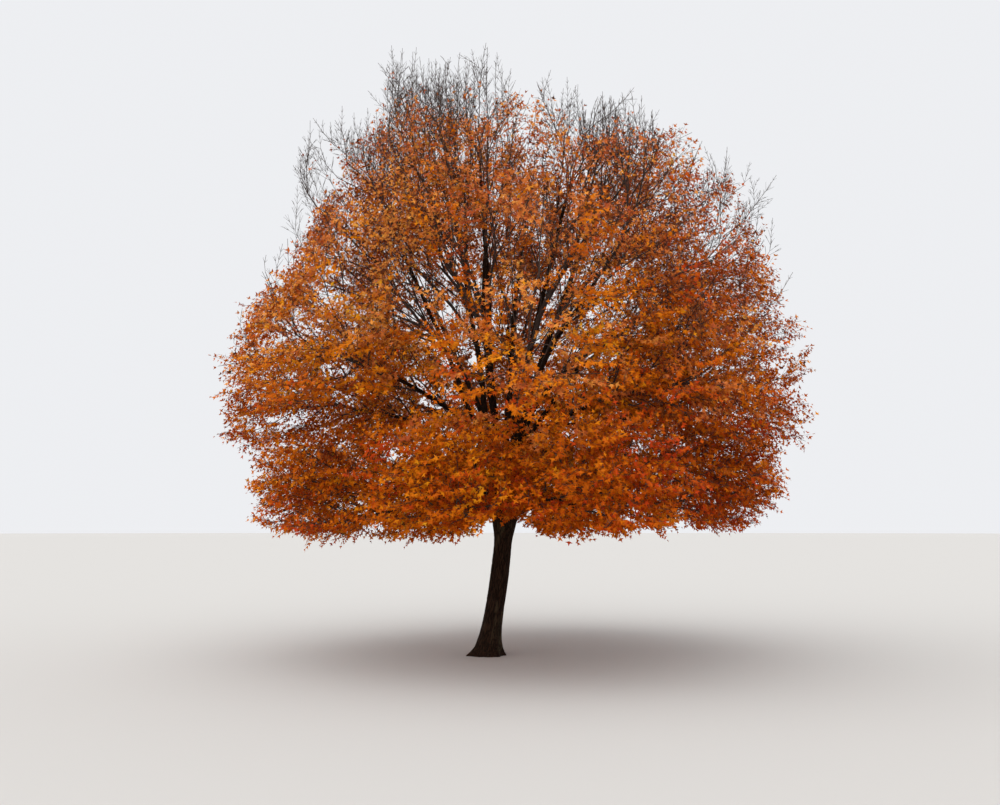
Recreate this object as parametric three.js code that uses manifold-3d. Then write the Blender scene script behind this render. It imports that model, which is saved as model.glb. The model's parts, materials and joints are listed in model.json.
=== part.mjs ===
// Bigtooth maple in autumn, 7.3 m tall and 7.5 m across, rooted in level ground.
// A short leaning trunk forks above head height into five steep leaders. Side boughs leave the
// trunk's head and the leaders, and each of the 29 boughs carries one mass of twigs and leaves.
// Units are millimetres. +Z is up, the origin is the middle of the flat cut at ground level, and the
// tree's front is seen along +Y.
import * as THREE from "three";
import { mergeVertices } from "three/addons/utils/BufferGeometryUtils.js";
import Module from "manifold-3d";

const wasm = await Module();
wasm.setup();

// Driving dimensions
const TREE_HEIGHT = 7650; // no twig reaches higher than this
const CROWN_BASE = 1370; // no leaf hangs lower than this
const AXIS_X = 340; // the crown's axis stands this far to the right of the foot
const TOP_SLOPE = 0.12; // the crown's top stands higher on the left, by this much per unit of way
const GAP = 0.3; // clearance between pieces that touch on the tree
const CELL_MARGIN = 4; // clearance between a mass and the edge of its own space

const TRUNK = {
  top: 1960,
  lean: 235, // how far the top stands to the right of the foot
  waist: 110, // radius at chest height
  flare: 105, // added to the radius at the ground, where the roots begin
  flareFall: 160, // height over which the flare dies away
  ribs: 5, // roots that the flare runs out into
  ribDepth: 0.2, // share of the flare that they stand out by
  swell: 24, // a slower swelling of the lower trunk
  swellFall: 500,
  head: 62, // added to the radius below the fork
  headFrom: 1330,
  headTo: 1800,
  shoulder: 0.72, // the radius of the top, as a share of the head's
  sides: 15,
  rings: 12,
  crowding: 1.25, // the larger, the closer the rings lie near the ground
};

const LIMB_SIDES = 6;
const LIMB_STEPS = 4;
const KNEE = 0.45; // how far along its way a bough bends
// A bough ends this far from the middle of its mass, inwards and down, as shares of the half sizes
const ENTRY = { inward: 0.5, below: 0.45 };

// The tiers of the crown. Each row: how many masses; the azimuth of the first, in degrees from +X
// towards +Y; how far its middle stands from the crown's axis, and how high; its half sizes
// outwards, sideways and upwards; how many twigs it has, the share of them that are bare, and how
// far these reach beyond the leaves; the radius of its bough at the foot and the tip; how steeply
// the bough sets off, in degrees; and where it leaves. On the trunk that is a share of the trunk's
// height, and how far off its middle line; on a leader, a share of the leader's length. Every
// other bough of the tier leaves higher by the stagger.
const TIERS = [
  {
    name: "crest",
    count: 5,
    turn: 20,
    shift: 120,
    out: 1480,
    height: 5950,
    size: [1080, 1020, 800],
    twigs: 5,
    bareShare: 0.4,
    bareReach: 620,
    bough: [50, 20],
    rise: 82,
    foot: { on: "trunk", share: 0.93, stagger: 0, off: 72 },
  },
  {
    name: "upper",
    count: 7,
    turn: -10,
    shift: 250,
    out: 2150,
    height: 4950,
    size: [1120, 1080, 920],
    twigs: 5,
    bareShare: 0.22,
    bareReach: 550,
    bough: [36, 20],
    rise: 62,
    foot: { on: "leader", share: 0.2, stagger: 0.06 },
  },
  {
    name: "shoulder",
    count: 8,
    turn: 0,
    shift: 0,
    out: 2550,
    height: 3500,
    size: [1150, 1080, 800],
    twigs: 4,
    bareShare: 0,
    bareReach: 0,
    bough: [34, 20],
    rise: 45,
    foot: { on: "leader", share: 0.1, stagger: 0.06 },
  },
  {
    name: "skirt",
    count: 8,
    turn: 22,
    shift: 100,
    out: 2280,
    height: 2120,
    size: [1080, 980, 700],
    twigs: 4,
    bareShare: 0,
    bareReach: 0,
    bough: [32, 20],
    rise: 24,
    foot: { on: "trunk", share: 0.86, stagger: 0.06, off: 60 },
  },
  {
    name: "heart",
    count: 1,
    turn: 80,
    shift: 0,
    out: 200,
    height: 4350,
    size: [900, 900, 900],
    twigs: 4,
    bareShare: 0,
    bareReach: 0,
    bough: [28, 20],
    rise: 70,
    foot: { on: "leader", share: 0.42, stagger: 0.06 },
  },
];
const UNEVEN = { turn: 12, out: 0.12, height: 0.3 }; // how far a mass strays from its even place
const SEEDS = { place: 1000, twigs: 77 }; // the seeds of each tier start at a multiple of these

// Open places in the crown that the sky shows through, seen from a standing eye in front of it:
// middle and half sizes, to the right and up, where the line of sight passes the trunk
const EYE = [170, -11980, 1550];
const SKY_WINDOWS = [
  { x: -1850, z: 3400, wide: 380, high: 240 },
  { x: -750, z: 3300, wide: 410, high: 250 },
  { x: -1310, z: 2520, wide: 220, high: 180 },
  { x: -1850, z: 2150, wide: 380, high: 150 },
  { x: 1460, z: 3650, wide: 280, high: 170 },
  { x: 2130, z: 2650, wide: 440, high: 190 },
  { x: 2880, z: 3750, wide: 320, high: 190 },
];

// Twigs and leaves of the solids. Each leaf stands for a whole spray of real ones.
const STEM = { foot: 19, tip: 14 };
const STEM_STEPS = 2;
const TWIG = { foot: 14, tip: 9 };
const TWIG_SIDES = 3;
const TWIG_STRETCH = 560; // between the bends of a twig
const TWIG_KNEE = 0.4; // how far along its way a twig still points the way that it set off
const SUNK = 30; // how far before a bend or the tip the leaves and other twigs start in it
const TARGETS = 60; // points in each mass that its few twigs are chosen from
const HOMING = 0.35; // how much a long way home to the bough counts against a joint
const AHEAD = 0.25; // below this share of its length ahead of the joint, a twig turns back
const TURNING_BACK = 900; // how much turning back counts against a joint
const PRIMES = [3, 5, 7]; // of the sequences that turn, lift and strip the twigs
const OUTWARD = 0.5; // the larger, the more of the twigs point out of the crown
const SKIN = 0.2; // the smaller, the more of the twigs reach the skin of their mass

const INSET = [280, 250, 100]; // how far short of the mass's skin a twig ends: its leaves reach on
const TARGET_LIFT = 180; // how much higher the twigs end, because their leaves hang
const BARE_ABOVE = 0.1; // bare twigs start this share of the half height above the mass's middle
const BARE_SHORTEST = 0.6; // of the reach of the bare twigs
const BARE_LEAN = 0.3; // how much a bare twig leans out as it rises
const LEAF_LENGTH = 860;
const FEET_MEET = 400; // cubic millimetres that the feet of a twig's leaves may share inside it
const HANG = 0.7; // how much the blades hang down, against the way of their twig
const PAIR_AHEAD = 0.4; // how much a pair's blades point on along the twig, against aside
const FACE_LIFT = 0.5; // how much the blades face up, against out
const LEAF_THICKNESS = 0.024; // at the middle of the blade, as a share of the length
const LEAF_SCALES = [1, 0.82, 0.66, 0.5]; // the sizes that are tried in a tight place
const LEAF_DROOP = 0.14; // how far the lobes hang below the middle
const LEAF_HEART = 0.32; // where the blade is thickest, along its length
const LEAF_MIDDLE = 0.448; // where the middle of the blade lies, along its length
// The outline of a blade with three lobes, from its tip round: along and across, in leaf lengths.
// Its foot is a point on the twig's middle line, so that it is sunk in.
const LOBES = [
  [1, 0],
  [0.6, 0.25],
  [0.5, 0.54],
  [0, 0],
  [0.5, -0.54],
  [0.6, -0.25],
];

const SEAM_WITHIN = 1e-4; // corners of a seam lie this close together
const FINEST_DETAIL = 0.02; // what joining leaves that is smaller than this is smoothed away

const UP = new THREE.Vector3(0, 0, 1);
const RIGHT = new THREE.Vector3(1, 0, 0);
const { degToRad, lerp, smoothstep } = THREE.MathUtils;
const vector = (x, y, z) => new THREE.Vector3(x, y, z);

// Seeded numbers from 0 to 1, the same on every run
function seeded(seed) {
  let state = seed >>> 0;
  return () => {
    state = (state + 0x6d2b79f5) >>> 0;
    let t = state;
    t = Math.imul(t ^ (t >>> 15), t | 1);
    t ^= t + Math.imul(t ^ (t >>> 7), t | 61);
    return ((t ^ (t >>> 14)) >>> 0) / 4294967296;
  };
}

// The index-th number of a Halton sequence: evenly spread, whether a few are taken or many
function halton(index, base) {
  let share = 1;
  let value = 0;
  for (let rest = index; rest > 0; rest = Math.floor(rest / base)) {
    share /= base;
    value += share * (rest % base);
  }
  return value;
}

// A surface as a solid that can be cut and joined, with its seams closed
function solidOf(geometry) {
  const { index, attributes } = mergeVertices(geometry, SEAM_WITHIN);
  return new wasm.Manifold(
    new wasm.Mesh({
      numProp: 3,
      vertProperties: new Float32Array(attributes.position.array),
      triVerts: new Uint32Array(index.array),
    }),
  );
}

function geometryOf(solid) {
  const { vertProperties, triVerts } = solid.getMesh();
  const corners = new THREE.BufferAttribute(vertProperties, 3);
  return new THREE.BufferGeometry()
    .setAttribute("position", corners)
    .setIndex(new THREE.BufferAttribute(triVerts, 1));
}

// A unit shape, each of its corners moved by a rule, as a solid
function bentSolid(geometry, placeOf) {
  geometry.deleteAttribute("normal");
  geometry.deleteAttribute("uv");
  const shape = mergeVertices(geometry, SEAM_WITHIN);
  const corners = shape.getAttribute("position");
  for (let i = 0; i < corners.count; i++) {
    const corner = vector().fromBufferAttribute(corners, i);
    corners.setXYZ(i, ...placeOf(corner).toArray());
  }
  return solidOf(shape);
}

// The main body of what was cut or fused: a loose scrap is dropped, and a sealed hollow is filled.
function mainBody(solid) {
  const bodies = solid.simplify(FINEST_DETAIL).decompose();
  return bodies.reduce((a, b) => (b.volume() > a.volume() ? b : a));
}

// The way of a curve's straight stretches: at an end its last one's, at a bend halfway between two
function wayAt(curve, steps, i) {
  const before = curve.getPoint(Math.max(0, i - 1) / steps);
  const after = curve.getPoint(Math.min(steps, i + 1) / steps);
  return after.sub(before).normalize();
}

// A closed limb along a curve: a cylinder, bent along it and given its radius at foot and tip.
// A limb that is grown is that much thicker and longer at both ends.
function limbSolid(curve, radius, sides, steps, grown = 0) {
  const frames = [];
  let across = null;
  for (let i = 0; i <= steps; i++) {
    const way = wayAt(curve, steps, i);
    if (across === null) across = Math.abs(way.z) > 0.9 ? RIGHT : UP;
    across = across
      .clone()
      .addScaledVector(way, -across.dot(way))
      .normalize();
    const end = i === 0 ? -1 : Number(i === steps);
    const middle = curve.getPoint(i / steps).addScaledVector(way, end * grown);
    frames.push({ middle, across, other: across.clone().cross(way) });
  }
  const cylinder = new THREE.CylinderGeometry(1, 1, 1, sides, steps);
  return bentSolid(cylinder, ({ x, y, z }) => {
    const t = y + 0.5;
    const { middle, across, other } = frames[Math.round(t * steps)];
    const r = lerp(radius.foot, radius.tip, t) + grown;
    return middle
      .clone()
      .addScaledVector(across, x * r)
      .addScaledVector(other, z * r);
  });
}

// The trunk's middle line leans to the right in a gentle bow
function trunkMiddle(z) {
  const turn = (Math.PI / 2) * (z / TRUNK.top);
  return vector(TRUNK.lean * Math.sin(turn), 0, z);
}

// The trunk swells at the roots and below the fork
function trunkRadius(z, angle) {
  const ribs = 1 + TRUNK.ribDepth * Math.cos(TRUNK.ribs * angle);
  const flare = TRUNK.flare * Math.exp(-z / TRUNK.flareFall) * ribs;
  const swell = TRUNK.swell * Math.exp(-z / TRUNK.swellFall);
  const head = TRUNK.head * smoothstep(z, TRUNK.headFrom, TRUNK.headTo);
  return TRUNK.waist + flare + swell + head;
}

// The trunk from the flat cut at ground level to its rounded top, with level rings
function trunkSolid(grown) {
  const cylinder = new THREE.CylinderGeometry(
    1,
    1,
    1,
    TRUNK.sides,
    TRUNK.rings,
  );
  return bentSolid(cylinder, ({ x, y, z }) => {
    const ring = Math.round((y + 0.5) * TRUNK.rings);
    const top = ring === TRUNK.rings;
    const level = TRUNK.top * Math.pow(ring / TRUNK.rings, TRUNK.crowding);
    const radius = trunkRadius(level, Math.atan2(z, x));
    const r = radius * (top ? TRUNK.shoulder : 1) + grown;
    const middle = trunkMiddle(level);
    return vector(middle.x + x * r, -z * r, level + (top ? grown : 0));
  });
}

// Where every mass lies, tier by tier, each strayed a little from its even place
function layOutMasses() {
  const masses = [];
  TIERS.forEach((tier, row) => {
    for (let i = 0; i < tier.count; i++) {
      const random = seeded(SEEDS.place * (row + 1) + i);
      const stray = (most) => (random() - 0.5) * most;
      const even = tier.turn + (360 * i) / tier.count;
      const azimuth = degToRad(even + stray(UNEVEN.turn));
      const out = tier.out * (1 + stray(UNEVEN.out));
      const outward = vector(Math.cos(azimuth), Math.sin(azimuth), 0);
      const lift = tier.size[2] * stray(UNEVEN.height);
      const slope = tier.bareReach > 0 ? -TOP_SLOPE * out * outward.x : 0;
      masses.push({
        name: `${tier.name}_${i + 1}`,
        tier,
        index: i,
        seed: SEEDS.twigs * (row + 1) + i,
        phases: PRIMES.map(() => random()),
        outward,
        sideways: vector(-outward.y, outward.x, 0),
        middle: vector(
          AXIS_X + tier.shift + out * outward.x,
          out * outward.y,
          tier.height + lift + slope,
        ),
      });
    }
  });
  return masses;
}

// The leader that points the most the same way
function nearestLeader(boughs, outward) {
  const leaders = boughs.filter((bough) => bough.mass.tier === TIERS[0]);
  const nearer = (a, b) =>
    b.mass.outward.dot(outward) > a.mass.outward.dot(outward) ? b : a;
  return leaders.reduce(nearer);
}

// A bough leaves the trunk's head or a leader
function boughFoot({ tier, index, outward }, boughs) {
  const { on, share, stagger, off } = tier.foot;
  const height = share + stagger * (index % 2);
  if (on === "trunk") {
    return trunkMiddle(height * TRUNK.top).addScaledVector(outward, off);
  }
  return nearestLeader(boughs, outward).curve.getPoint(height);
}

// A bough sets off steeply and bends out to the lower inner side of its mass
function layOutBoughs(masses) {
  const boughs = [];
  for (const mass of masses) {
    const { tier, outward } = mass;
    const foot = boughFoot(mass, boughs);
    const tip = mass.middle
      .clone()
      .addScaledVector(outward, -ENTRY.inward * tier.size[0])
      .addScaledVector(UP, -ENTRY.below * tier.size[2]);
    const rise = degToRad(tier.rise);
    const bend = KNEE * foot.distanceTo(tip);
    const knee = foot
      .clone()
      .addScaledVector(outward, bend * Math.cos(rise))
      .addScaledVector(UP, bend * Math.sin(rise));
    const curve = new THREE.QuadraticBezierCurve3(foot, knee, tip);
    boughs.push({ mass, curve });
    mass.entry = tip;
    mass.entryWay = wayAt(curve, LIMB_STEPS, LIMB_STEPS);
  }
  return boughs;
}

function boughSolid({ mass, curve }, grown) {
  const [foot, tip] = mass.tier.bough;
  return limbSolid(curve, { foot, tip }, LIMB_SIDES, LIMB_STEPS, grown);
}

// How far inside its mass's own space a point lies. That space ends halfway to the next mass, at
// the crown's base and at the tree's top.
function roomAt(point, mass, masses) {
  let room = Math.min(point.z - CROWN_BASE, TREE_HEIGHT - point.z);
  for (const other of masses) {
    if (other === mass) continue;
    const further =
      point.distanceToSquared(other.middle) -
      point.distanceToSquared(mass.middle);
    const between = mass.middle.distanceTo(other.middle);
    room = Math.min(room, further / (2 * between));
  }
  return room;
}

// Whether the line of sight to a point passes through an open place
function inSkyWindow(point) {
  const [eyeX, eyeY, eyeZ] = EYE;
  const stretch = -eyeY / (point.y - eyeY);
  const x = eyeX + (point.x - eyeX) * stretch;
  const z = eyeZ + (point.z - eyeZ) * stretch;
  return SKY_WINDOWS.some(
    (window) =>
      Math.hypot((x - window.x) / window.wide, (z - window.z) / window.high) <
      1,
  );
}

// The points that a mass's twigs may grow to, evenly spread. Most lie near the skin and out of the
// crown, and a bare twig runs on upwards beyond it.
function targetsOf(mass, masses) {
  const { tier, outward, sideways, middle, phases } = mass;
  const targets = [];
  for (let i = 1; i <= TARGETS; i++) {
    const share = (k) => (halton(i, PRIMES[k]) + phases[k]) % 1;
    const deep = Math.pow(halton(i, 2), SKIN);
    const aside = 2 * share(0) - 1;
    const turn = Math.PI * aside * Math.pow(Math.abs(aside), OUTWARD);
    const lift = 2 * share(1) - 1;
    const level = Math.sqrt(1 - lift * lift);
    const [out, across, up] = tier.size.map((s, k) => (s - INSET[k]) * deep);
    const point = middle
      .clone()
      .addScaledVector(outward, out * level * Math.cos(turn))
      .addScaledVector(sideways, across * level * Math.sin(turn))
      .addScaledVector(UP, up * lift + TARGET_LIFT);
    const bare = lift > BARE_ABOVE && share(2) < tier.bareShare;
    if (bare) {
      const reach = tier.bareReach * lerp(BARE_SHORTEST, 1, deep);
      point.addScaledVector(outward, BARE_LEAN * reach);
      point.addScaledVector(UP, reach);
    }
    if (roomAt(point, mass, masses) > CELL_MARGIN) targets.push({ point, bare });
  }
  return targets;
}

// A new twig leaves the place from which the way to its point, and on home to the bough, is shortest
function bestJoint(joints, point) {
  let best = null;
  let least = Infinity;
  for (const joint of joints) {
    const way = point.clone().sub(joint.at);
    const length = way.length();
    const back = way.dot(joint.way) < AHEAD * length;
    const cost = length + HOMING * joint.home + (back ? TURNING_BACK : 0);
    if (cost < least) {
      least = cost;
      best = joint;
    }
  }
  return best;
}

// The joints of a twig or stem, where leaves and other twigs are sunk in: a little before the end
// of each straight stretch
function jointsAlong(curve, steps, home) {
  const joints = [];
  for (let i = 1; i <= steps; i++) {
    const bend = curve.getPoint(i / steps);
    const back = curve.getPoint((i - 1) / steps).sub(bend).setLength(SUNK);
    joints.push({
      at: bend.add(back),
      way: wayAt(curve, steps, i),
      home: home + curve.getLength() * (i / steps),
    });
  }
  return joints;
}

// A twig sets off the way its joint points and bends to its end in a few straight stretches
function layOutTwig(joint, end) {
  const length = joint.at.distanceTo(end);
  const knee = joint.at.clone().addScaledVector(joint.way, TWIG_KNEE * length);
  const curve = new THREE.QuadraticBezierCurve3(joint.at, knee, end);
  const steps = Math.max(1, Math.round(curve.getLength() / TWIG_STRETCH));
  return { curve, steps, joints: jointsAlong(curve, steps, joint.home) };
}

// A leaf blade: a double cone with six sides, drawn out to the lobes and pinched between them
function leafSolid({ foot, along, face }, length) {
  const across = along.clone().cross(face);
  const count = LOBES.length;
  const cone = new THREE.SphereGeometry(1, count, 2);
  return bentSolid(cone, ({ x, y, z }) => {
    const middle = Math.abs(y) > 0.5;
    const turn = Math.atan2(z, x) / (2 * Math.PI);
    const lobe = LOBES[Math.round((turn + 1) * count) % count];
    const [ahead, aside] = middle ? [LEAF_HEART, 0] : lobe;
    const lift = middle
      ? 0.5 * LEAF_THICKNESS * Math.sign(y)
      : -LEAF_DROOP * Math.hypot(ahead - LEAF_HEART, aside);
    return foot
      .clone()
      .addScaledVector(along, ahead * length)
      .addScaledVector(across, aside * length)
      .addScaledVector(face, (lift + LEAF_DROOP * LEAF_HEART) * length);
  });
}

function leafMiddle({ foot, along }, length) {
  return foot.clone().addScaledVector(along, LEAF_MIDDLE * length);
}

function cornersOf(solid) {
  const { numVert, vertProperties } = solid.getMesh();
  return Array.from({ length: numVert }, (_, i) =>
    vector().fromArray(vertProperties, 3 * i),
  );
}

// Whether a twig or leaf stays in its mass's own space, clear of the limbs, and crosses no leaf.
// Leaves of one twig may meet where their feet are sunk into it.
function fits(solid, mass, masses, limbs, leaves) {
  const inside = (corner) => roomAt(corner, mass, masses) > CELL_MARGIN;
  const shared = (other) => solid.intersect(other).volume();
  return (
    cornersOf(solid).every(inside) &&
    shared(limbs) === 0 &&
    leaves.every((leaf) => shared(leaf) < FEET_MEET)
  );
}

// Where a twig's leaves sit: one at the tip and a pair a stretch further back. They hang, and each
// blade faces out of the crown.
function leafPlaces({ curve, joints }, random) {
  const tip = joints.at(-1);
  const middle = curve.getPoint(0).lerp(curve.getPoint(1), 0.5);
  const pair = joints.length > 1 ? joints.at(-2).at : middle;
  const sides = [
    { foot: tip.at, side: 0 },
    { foot: pair, side: 1 },
    { foot: pair, side: -1 },
  ];
  return sides.map(({ foot, side }) => {
    const stray = vector(random() - 0.5, random() - 0.5, random() - 0.5);
    const face = vector(foot.x - AXIS_X, foot.y, 0)
      .normalize()
      .addScaledVector(UP, FACE_LIFT)
      .add(stray);
    const across = face.clone().cross(tip.way).normalize();
    const along = tip.way
      .clone()
      .multiplyScalar(side === 0 ? 1 : PAIR_AHEAD)
      .addScaledVector(across, side)
      .addScaledVector(UP, -HANG)
      .normalize();
    face.addScaledVector(along, -face.dot(along)).normalize();
    return { foot, along, face };
  });
}

// The largest of a few sizes of leaf that fits, and that leaves the open places open
function fittingLeaf(place, mass, masses, limbs, leaves) {
  for (const scale of LEAF_SCALES) {
    const length = LEAF_LENGTH * scale;
    if (inSkyWindow(leafMiddle(place, length))) continue;
    const leaf = leafSolid(place, length);
    if (fits(leaf, mass, masses, limbs, leaves)) return leaf;
  }
  return null;
}

// Takes out of the open targets the one that lies furthest from every twig end grown so far
function loneliest(open, ends) {
  const alone = ({ point }) =>
    Math.min(...ends.map((end) => end.distanceTo(point)));
  const next = open.reduce((a, b) => (alone(b) > alone(a) ? b : a));
  open.splice(open.indexOf(next), 1);
  return next;
}

// One mass: a stem that goes on from the bough, and twigs with their leaves fused on. The ends of
// the crown's twigs so far are given, and this mass's are added to them.
function massSolid(mass, masses, limbs, ends) {
  const random = seeded(mass.seed);
  const start = mass.entry.clone().addScaledVector(mass.entryWay, GAP);
  const reach = start.distanceTo(mass.middle);
  const end = start.clone().addScaledVector(mass.entryWay, reach);
  const stem = new THREE.LineCurve3(start, end);
  const joints = jointsAlong(stem, STEM_STEPS, 0);
  const wood = [limbSolid(stem, STEM, TWIG_SIDES, STEM_STEPS)];
  const leaves = [];
  const open = targetsOf(mass, masses);
  while (open.length > 0 && wood.length <= mass.tier.twigs) {
    const { point, bare } = loneliest(open, ends);
    const twig = layOutTwig(bestJoint(joints, point), point);
    const solid = limbSolid(twig.curve, TWIG, TWIG_SIDES, twig.steps);
    if (!fits(solid, mass, masses, limbs, leaves)) continue;
    wood.push(solid);
    ends.push(point);
    joints.push(...twig.joints);
    for (const place of bare ? [] : leafPlaces(twig, random)) {
      const leaf = fittingLeaf(place, mass, masses, limbs, leaves);
      if (leaf !== null) leaves.push(leaf);
    }
  }
  return mainBody(wasm.Manifold.union([...wood, ...leaves]));
}

const bark = new THREE.MeshStandardMaterial({
  color: 0x3a2a20,
  roughness: 0.95,
  metalness: 0,
});
const LEAF_COLOURS = {
  crest: 0xb4571e,
  upper: 0xc05a16,
  shoulder: 0xc4600f,
  skirt: 0xb0500c,
  heart: 0xc07a18,
};

function meshOf(name, solid, material) {
  const geometry = geometryOf(solid);
  geometry.computeVertexNormals();
  const mesh = new THREE.Mesh(geometry, material);
  mesh.name = name;
  return mesh;
}

function buildTree() {
  const tree = new THREE.Group();
  const masses = layOutMasses();
  tree.add(meshOf("trunk", trunkSolid(0), bark));
  let limbs = trunkSolid(GAP);
  for (const bough of layOutBoughs(masses)) {
    const solid = mainBody(boughSolid(bough, 0).subtract(limbs));
    tree.add(meshOf(`bough_${bough.mass.name}`, solid, bark));
    limbs = limbs.add(boughSolid(bough, GAP));
  }
  const ends = [vector(AXIS_X, 0, TRUNK.top)];
  for (const mass of masses) {
    const leafColour = new THREE.MeshStandardMaterial({
      color: LEAF_COLOURS[mass.tier.name],
      roughness: 0.7,
      metalness: 0,
    });
    const solid = massSolid(mass, masses, limbs, ends);
    tree.add(meshOf(`leaves_${mass.name}`, solid, leafColour));
  }
  return tree;
}

export default buildTree();
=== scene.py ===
# %% [markdown]
# # A bigtooth maple in autumn
# A lone tree in the open: a short dark trunk that leans a little, five steep leaders, low side
# boughs, and a broad dome of orange leaves with bare twigs standing out of its top.
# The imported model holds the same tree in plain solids. This lesson keeps every limb and every mass
# of foliage where the solids are, and grows real bark, twigs and leaves there.
# Lengths are metres, +Z is up and the tree's front is seen along +Y.

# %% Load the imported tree
import json
import math
import bmesh
import bpy
import numpy as np
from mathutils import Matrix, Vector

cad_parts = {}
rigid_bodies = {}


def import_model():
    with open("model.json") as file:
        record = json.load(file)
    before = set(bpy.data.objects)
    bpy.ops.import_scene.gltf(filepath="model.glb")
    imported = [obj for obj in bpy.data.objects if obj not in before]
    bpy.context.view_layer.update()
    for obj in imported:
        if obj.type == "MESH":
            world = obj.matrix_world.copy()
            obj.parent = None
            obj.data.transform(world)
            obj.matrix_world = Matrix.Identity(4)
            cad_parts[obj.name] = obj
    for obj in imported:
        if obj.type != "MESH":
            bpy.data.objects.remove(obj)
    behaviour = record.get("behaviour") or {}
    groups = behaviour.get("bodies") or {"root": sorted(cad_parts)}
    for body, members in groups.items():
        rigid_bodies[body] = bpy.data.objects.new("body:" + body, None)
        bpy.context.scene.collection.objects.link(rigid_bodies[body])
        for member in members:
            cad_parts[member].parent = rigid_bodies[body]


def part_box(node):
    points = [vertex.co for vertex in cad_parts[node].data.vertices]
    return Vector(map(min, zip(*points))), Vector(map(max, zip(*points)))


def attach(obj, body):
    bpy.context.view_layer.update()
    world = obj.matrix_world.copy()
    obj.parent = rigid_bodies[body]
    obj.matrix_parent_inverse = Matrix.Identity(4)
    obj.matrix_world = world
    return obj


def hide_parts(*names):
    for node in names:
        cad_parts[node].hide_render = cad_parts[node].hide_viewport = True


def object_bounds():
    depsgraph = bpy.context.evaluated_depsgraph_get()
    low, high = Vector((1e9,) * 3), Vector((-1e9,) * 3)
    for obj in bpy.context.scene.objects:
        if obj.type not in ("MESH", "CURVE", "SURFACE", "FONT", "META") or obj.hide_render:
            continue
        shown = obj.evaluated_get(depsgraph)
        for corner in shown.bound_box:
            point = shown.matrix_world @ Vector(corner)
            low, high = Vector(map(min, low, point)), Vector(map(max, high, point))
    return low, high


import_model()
cad_low, cad_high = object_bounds()
print("the solids fill", [round(v, 3) for v in cad_low], "to", [round(v, 3) for v in cad_high])

# %% [markdown]
# ## Where the foliage sits
# A crown isn't an even ball of leaves: it is a few dozen clouds, each carried by its own bough, in
# rough tiers round the tree. The table says where each tier stands and how large its clouds are.
# These are the driving sizes that the solids were made from, so both trees have the same build.

# %% The tiers of the crown
AXIS_X = 0.34  # the crown's axis stands this far to the right of the trunk's foot
TOP_SLOPE = 0.12  # the crown's top stands higher on the left
CROWN_BASE = 1.37  # no leaf's foot is lower
TRUNK_TOP = 1.96

# size: half sizes outwards, sideways and upwards. bare: the share of bare twigs, and their reach.
# bough: radius at foot and tip. foot: where the bough leaves the trunk or a leader, as a share of
# its length, how much higher every other bough leaves, and how far off the trunk's middle line.
TIERS = (
    dict(name="crest", count=5, turn=20, shift=0.12, out=1.48, height=5.95, size=(1.08, 1.02, 0.80),
         bare=(0.40, 0.62), bough=(0.050, 0.020), rise=82, on="trunk", foot=(0.93, 0.0, 0.072)),
    dict(name="upper", count=7, turn=-10, shift=0.25, out=2.15, height=4.95, size=(1.12, 1.08, 0.92),
         bare=(0.22, 0.55), bough=(0.036, 0.020), rise=62, on="leader", foot=(0.20, 0.06, 0.0)),
    dict(name="shoulder", count=8, turn=0, shift=0.0, out=2.55, height=3.50, size=(1.15, 1.08, 0.80),
         bare=(0.0, 0.0), bough=(0.034, 0.020), rise=45, on="leader", foot=(0.10, 0.06, 0.0)),
    dict(name="skirt", count=8, turn=22, shift=0.10, out=2.28, height=2.12, size=(1.08, 0.98, 0.70),
         bare=(0.0, 0.0), bough=(0.032, 0.020), rise=24, on="trunk", foot=(0.86, 0.06, 0.060)),
    dict(name="heart", count=1, turn=80, shift=0.0, out=0.20, height=4.35, size=(0.90, 0.90, 0.90),
         bare=(0.0, 0.0), bough=(0.028, 0.020), rise=70, on="leader", foot=(0.42, 0.06, 0.0)),
)
UNEVEN = dict(turn=12, out=0.12, height=0.3)  # how far a mass strays from its even place
PLACE_SEED = 1000
PRIMES = (3, 5, 7)  # of the sequences that turn, lift and strip the twigs
print(sum(tier["count"] for tier in TIERS), "masses of foliage in", len(TIERS), "tiers")

# %% [markdown]
# ## The same dice
# A rule that grows a tree needs chance, but the same chance on every run. This small generator
# gives the solids' own numbers, so that every mass strays from its even place just as there.

# %% Seeded numbers and small vector helpers
UP = np.array([0.0, 0.0, 1.0])
LOW_32_BITS = 0xFFFFFFFF


def seeded(seed):
    """A function that gives the next number from 0 to 1 at each call."""
    state = [seed]

    def draw():
        """The next number."""
        state[0] = (state[0] + 0x6D2B79F5) & LOW_32_BITS
        t = state[0]
        t = ((t ^ (t >> 15)) * (t | 1)) & LOW_32_BITS
        t ^= (t + (((t ^ (t >> 7)) * (t | 61)) & LOW_32_BITS)) & LOW_32_BITS
        return (t ^ (t >> 14)) / 4294967296

    return draw


def halton(count, base):
    """The first numbers of a Halton sequence: evenly spread, whether few are taken or many."""
    index = np.arange(1, count + 1)
    values = np.zeros(count)
    share = 1.0
    while index.any():
        share /= base
        values += share * (index % base)
        index = index // base
    return values


def unit(v):
    """The same way, one metre long."""
    return v / np.maximum(np.linalg.norm(v, axis=-1, keepdims=True), 1e-9)


def bezier(foot, knee, tip, t):
    """Points of a limb that sets off from its foot towards the knee and bends to its tip."""
    t = np.asarray(t, dtype=float)[:, None]
    return (1 - t) ** 2 * foot + 2 * t * (1 - t) * knee + t**2 * tip


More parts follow.
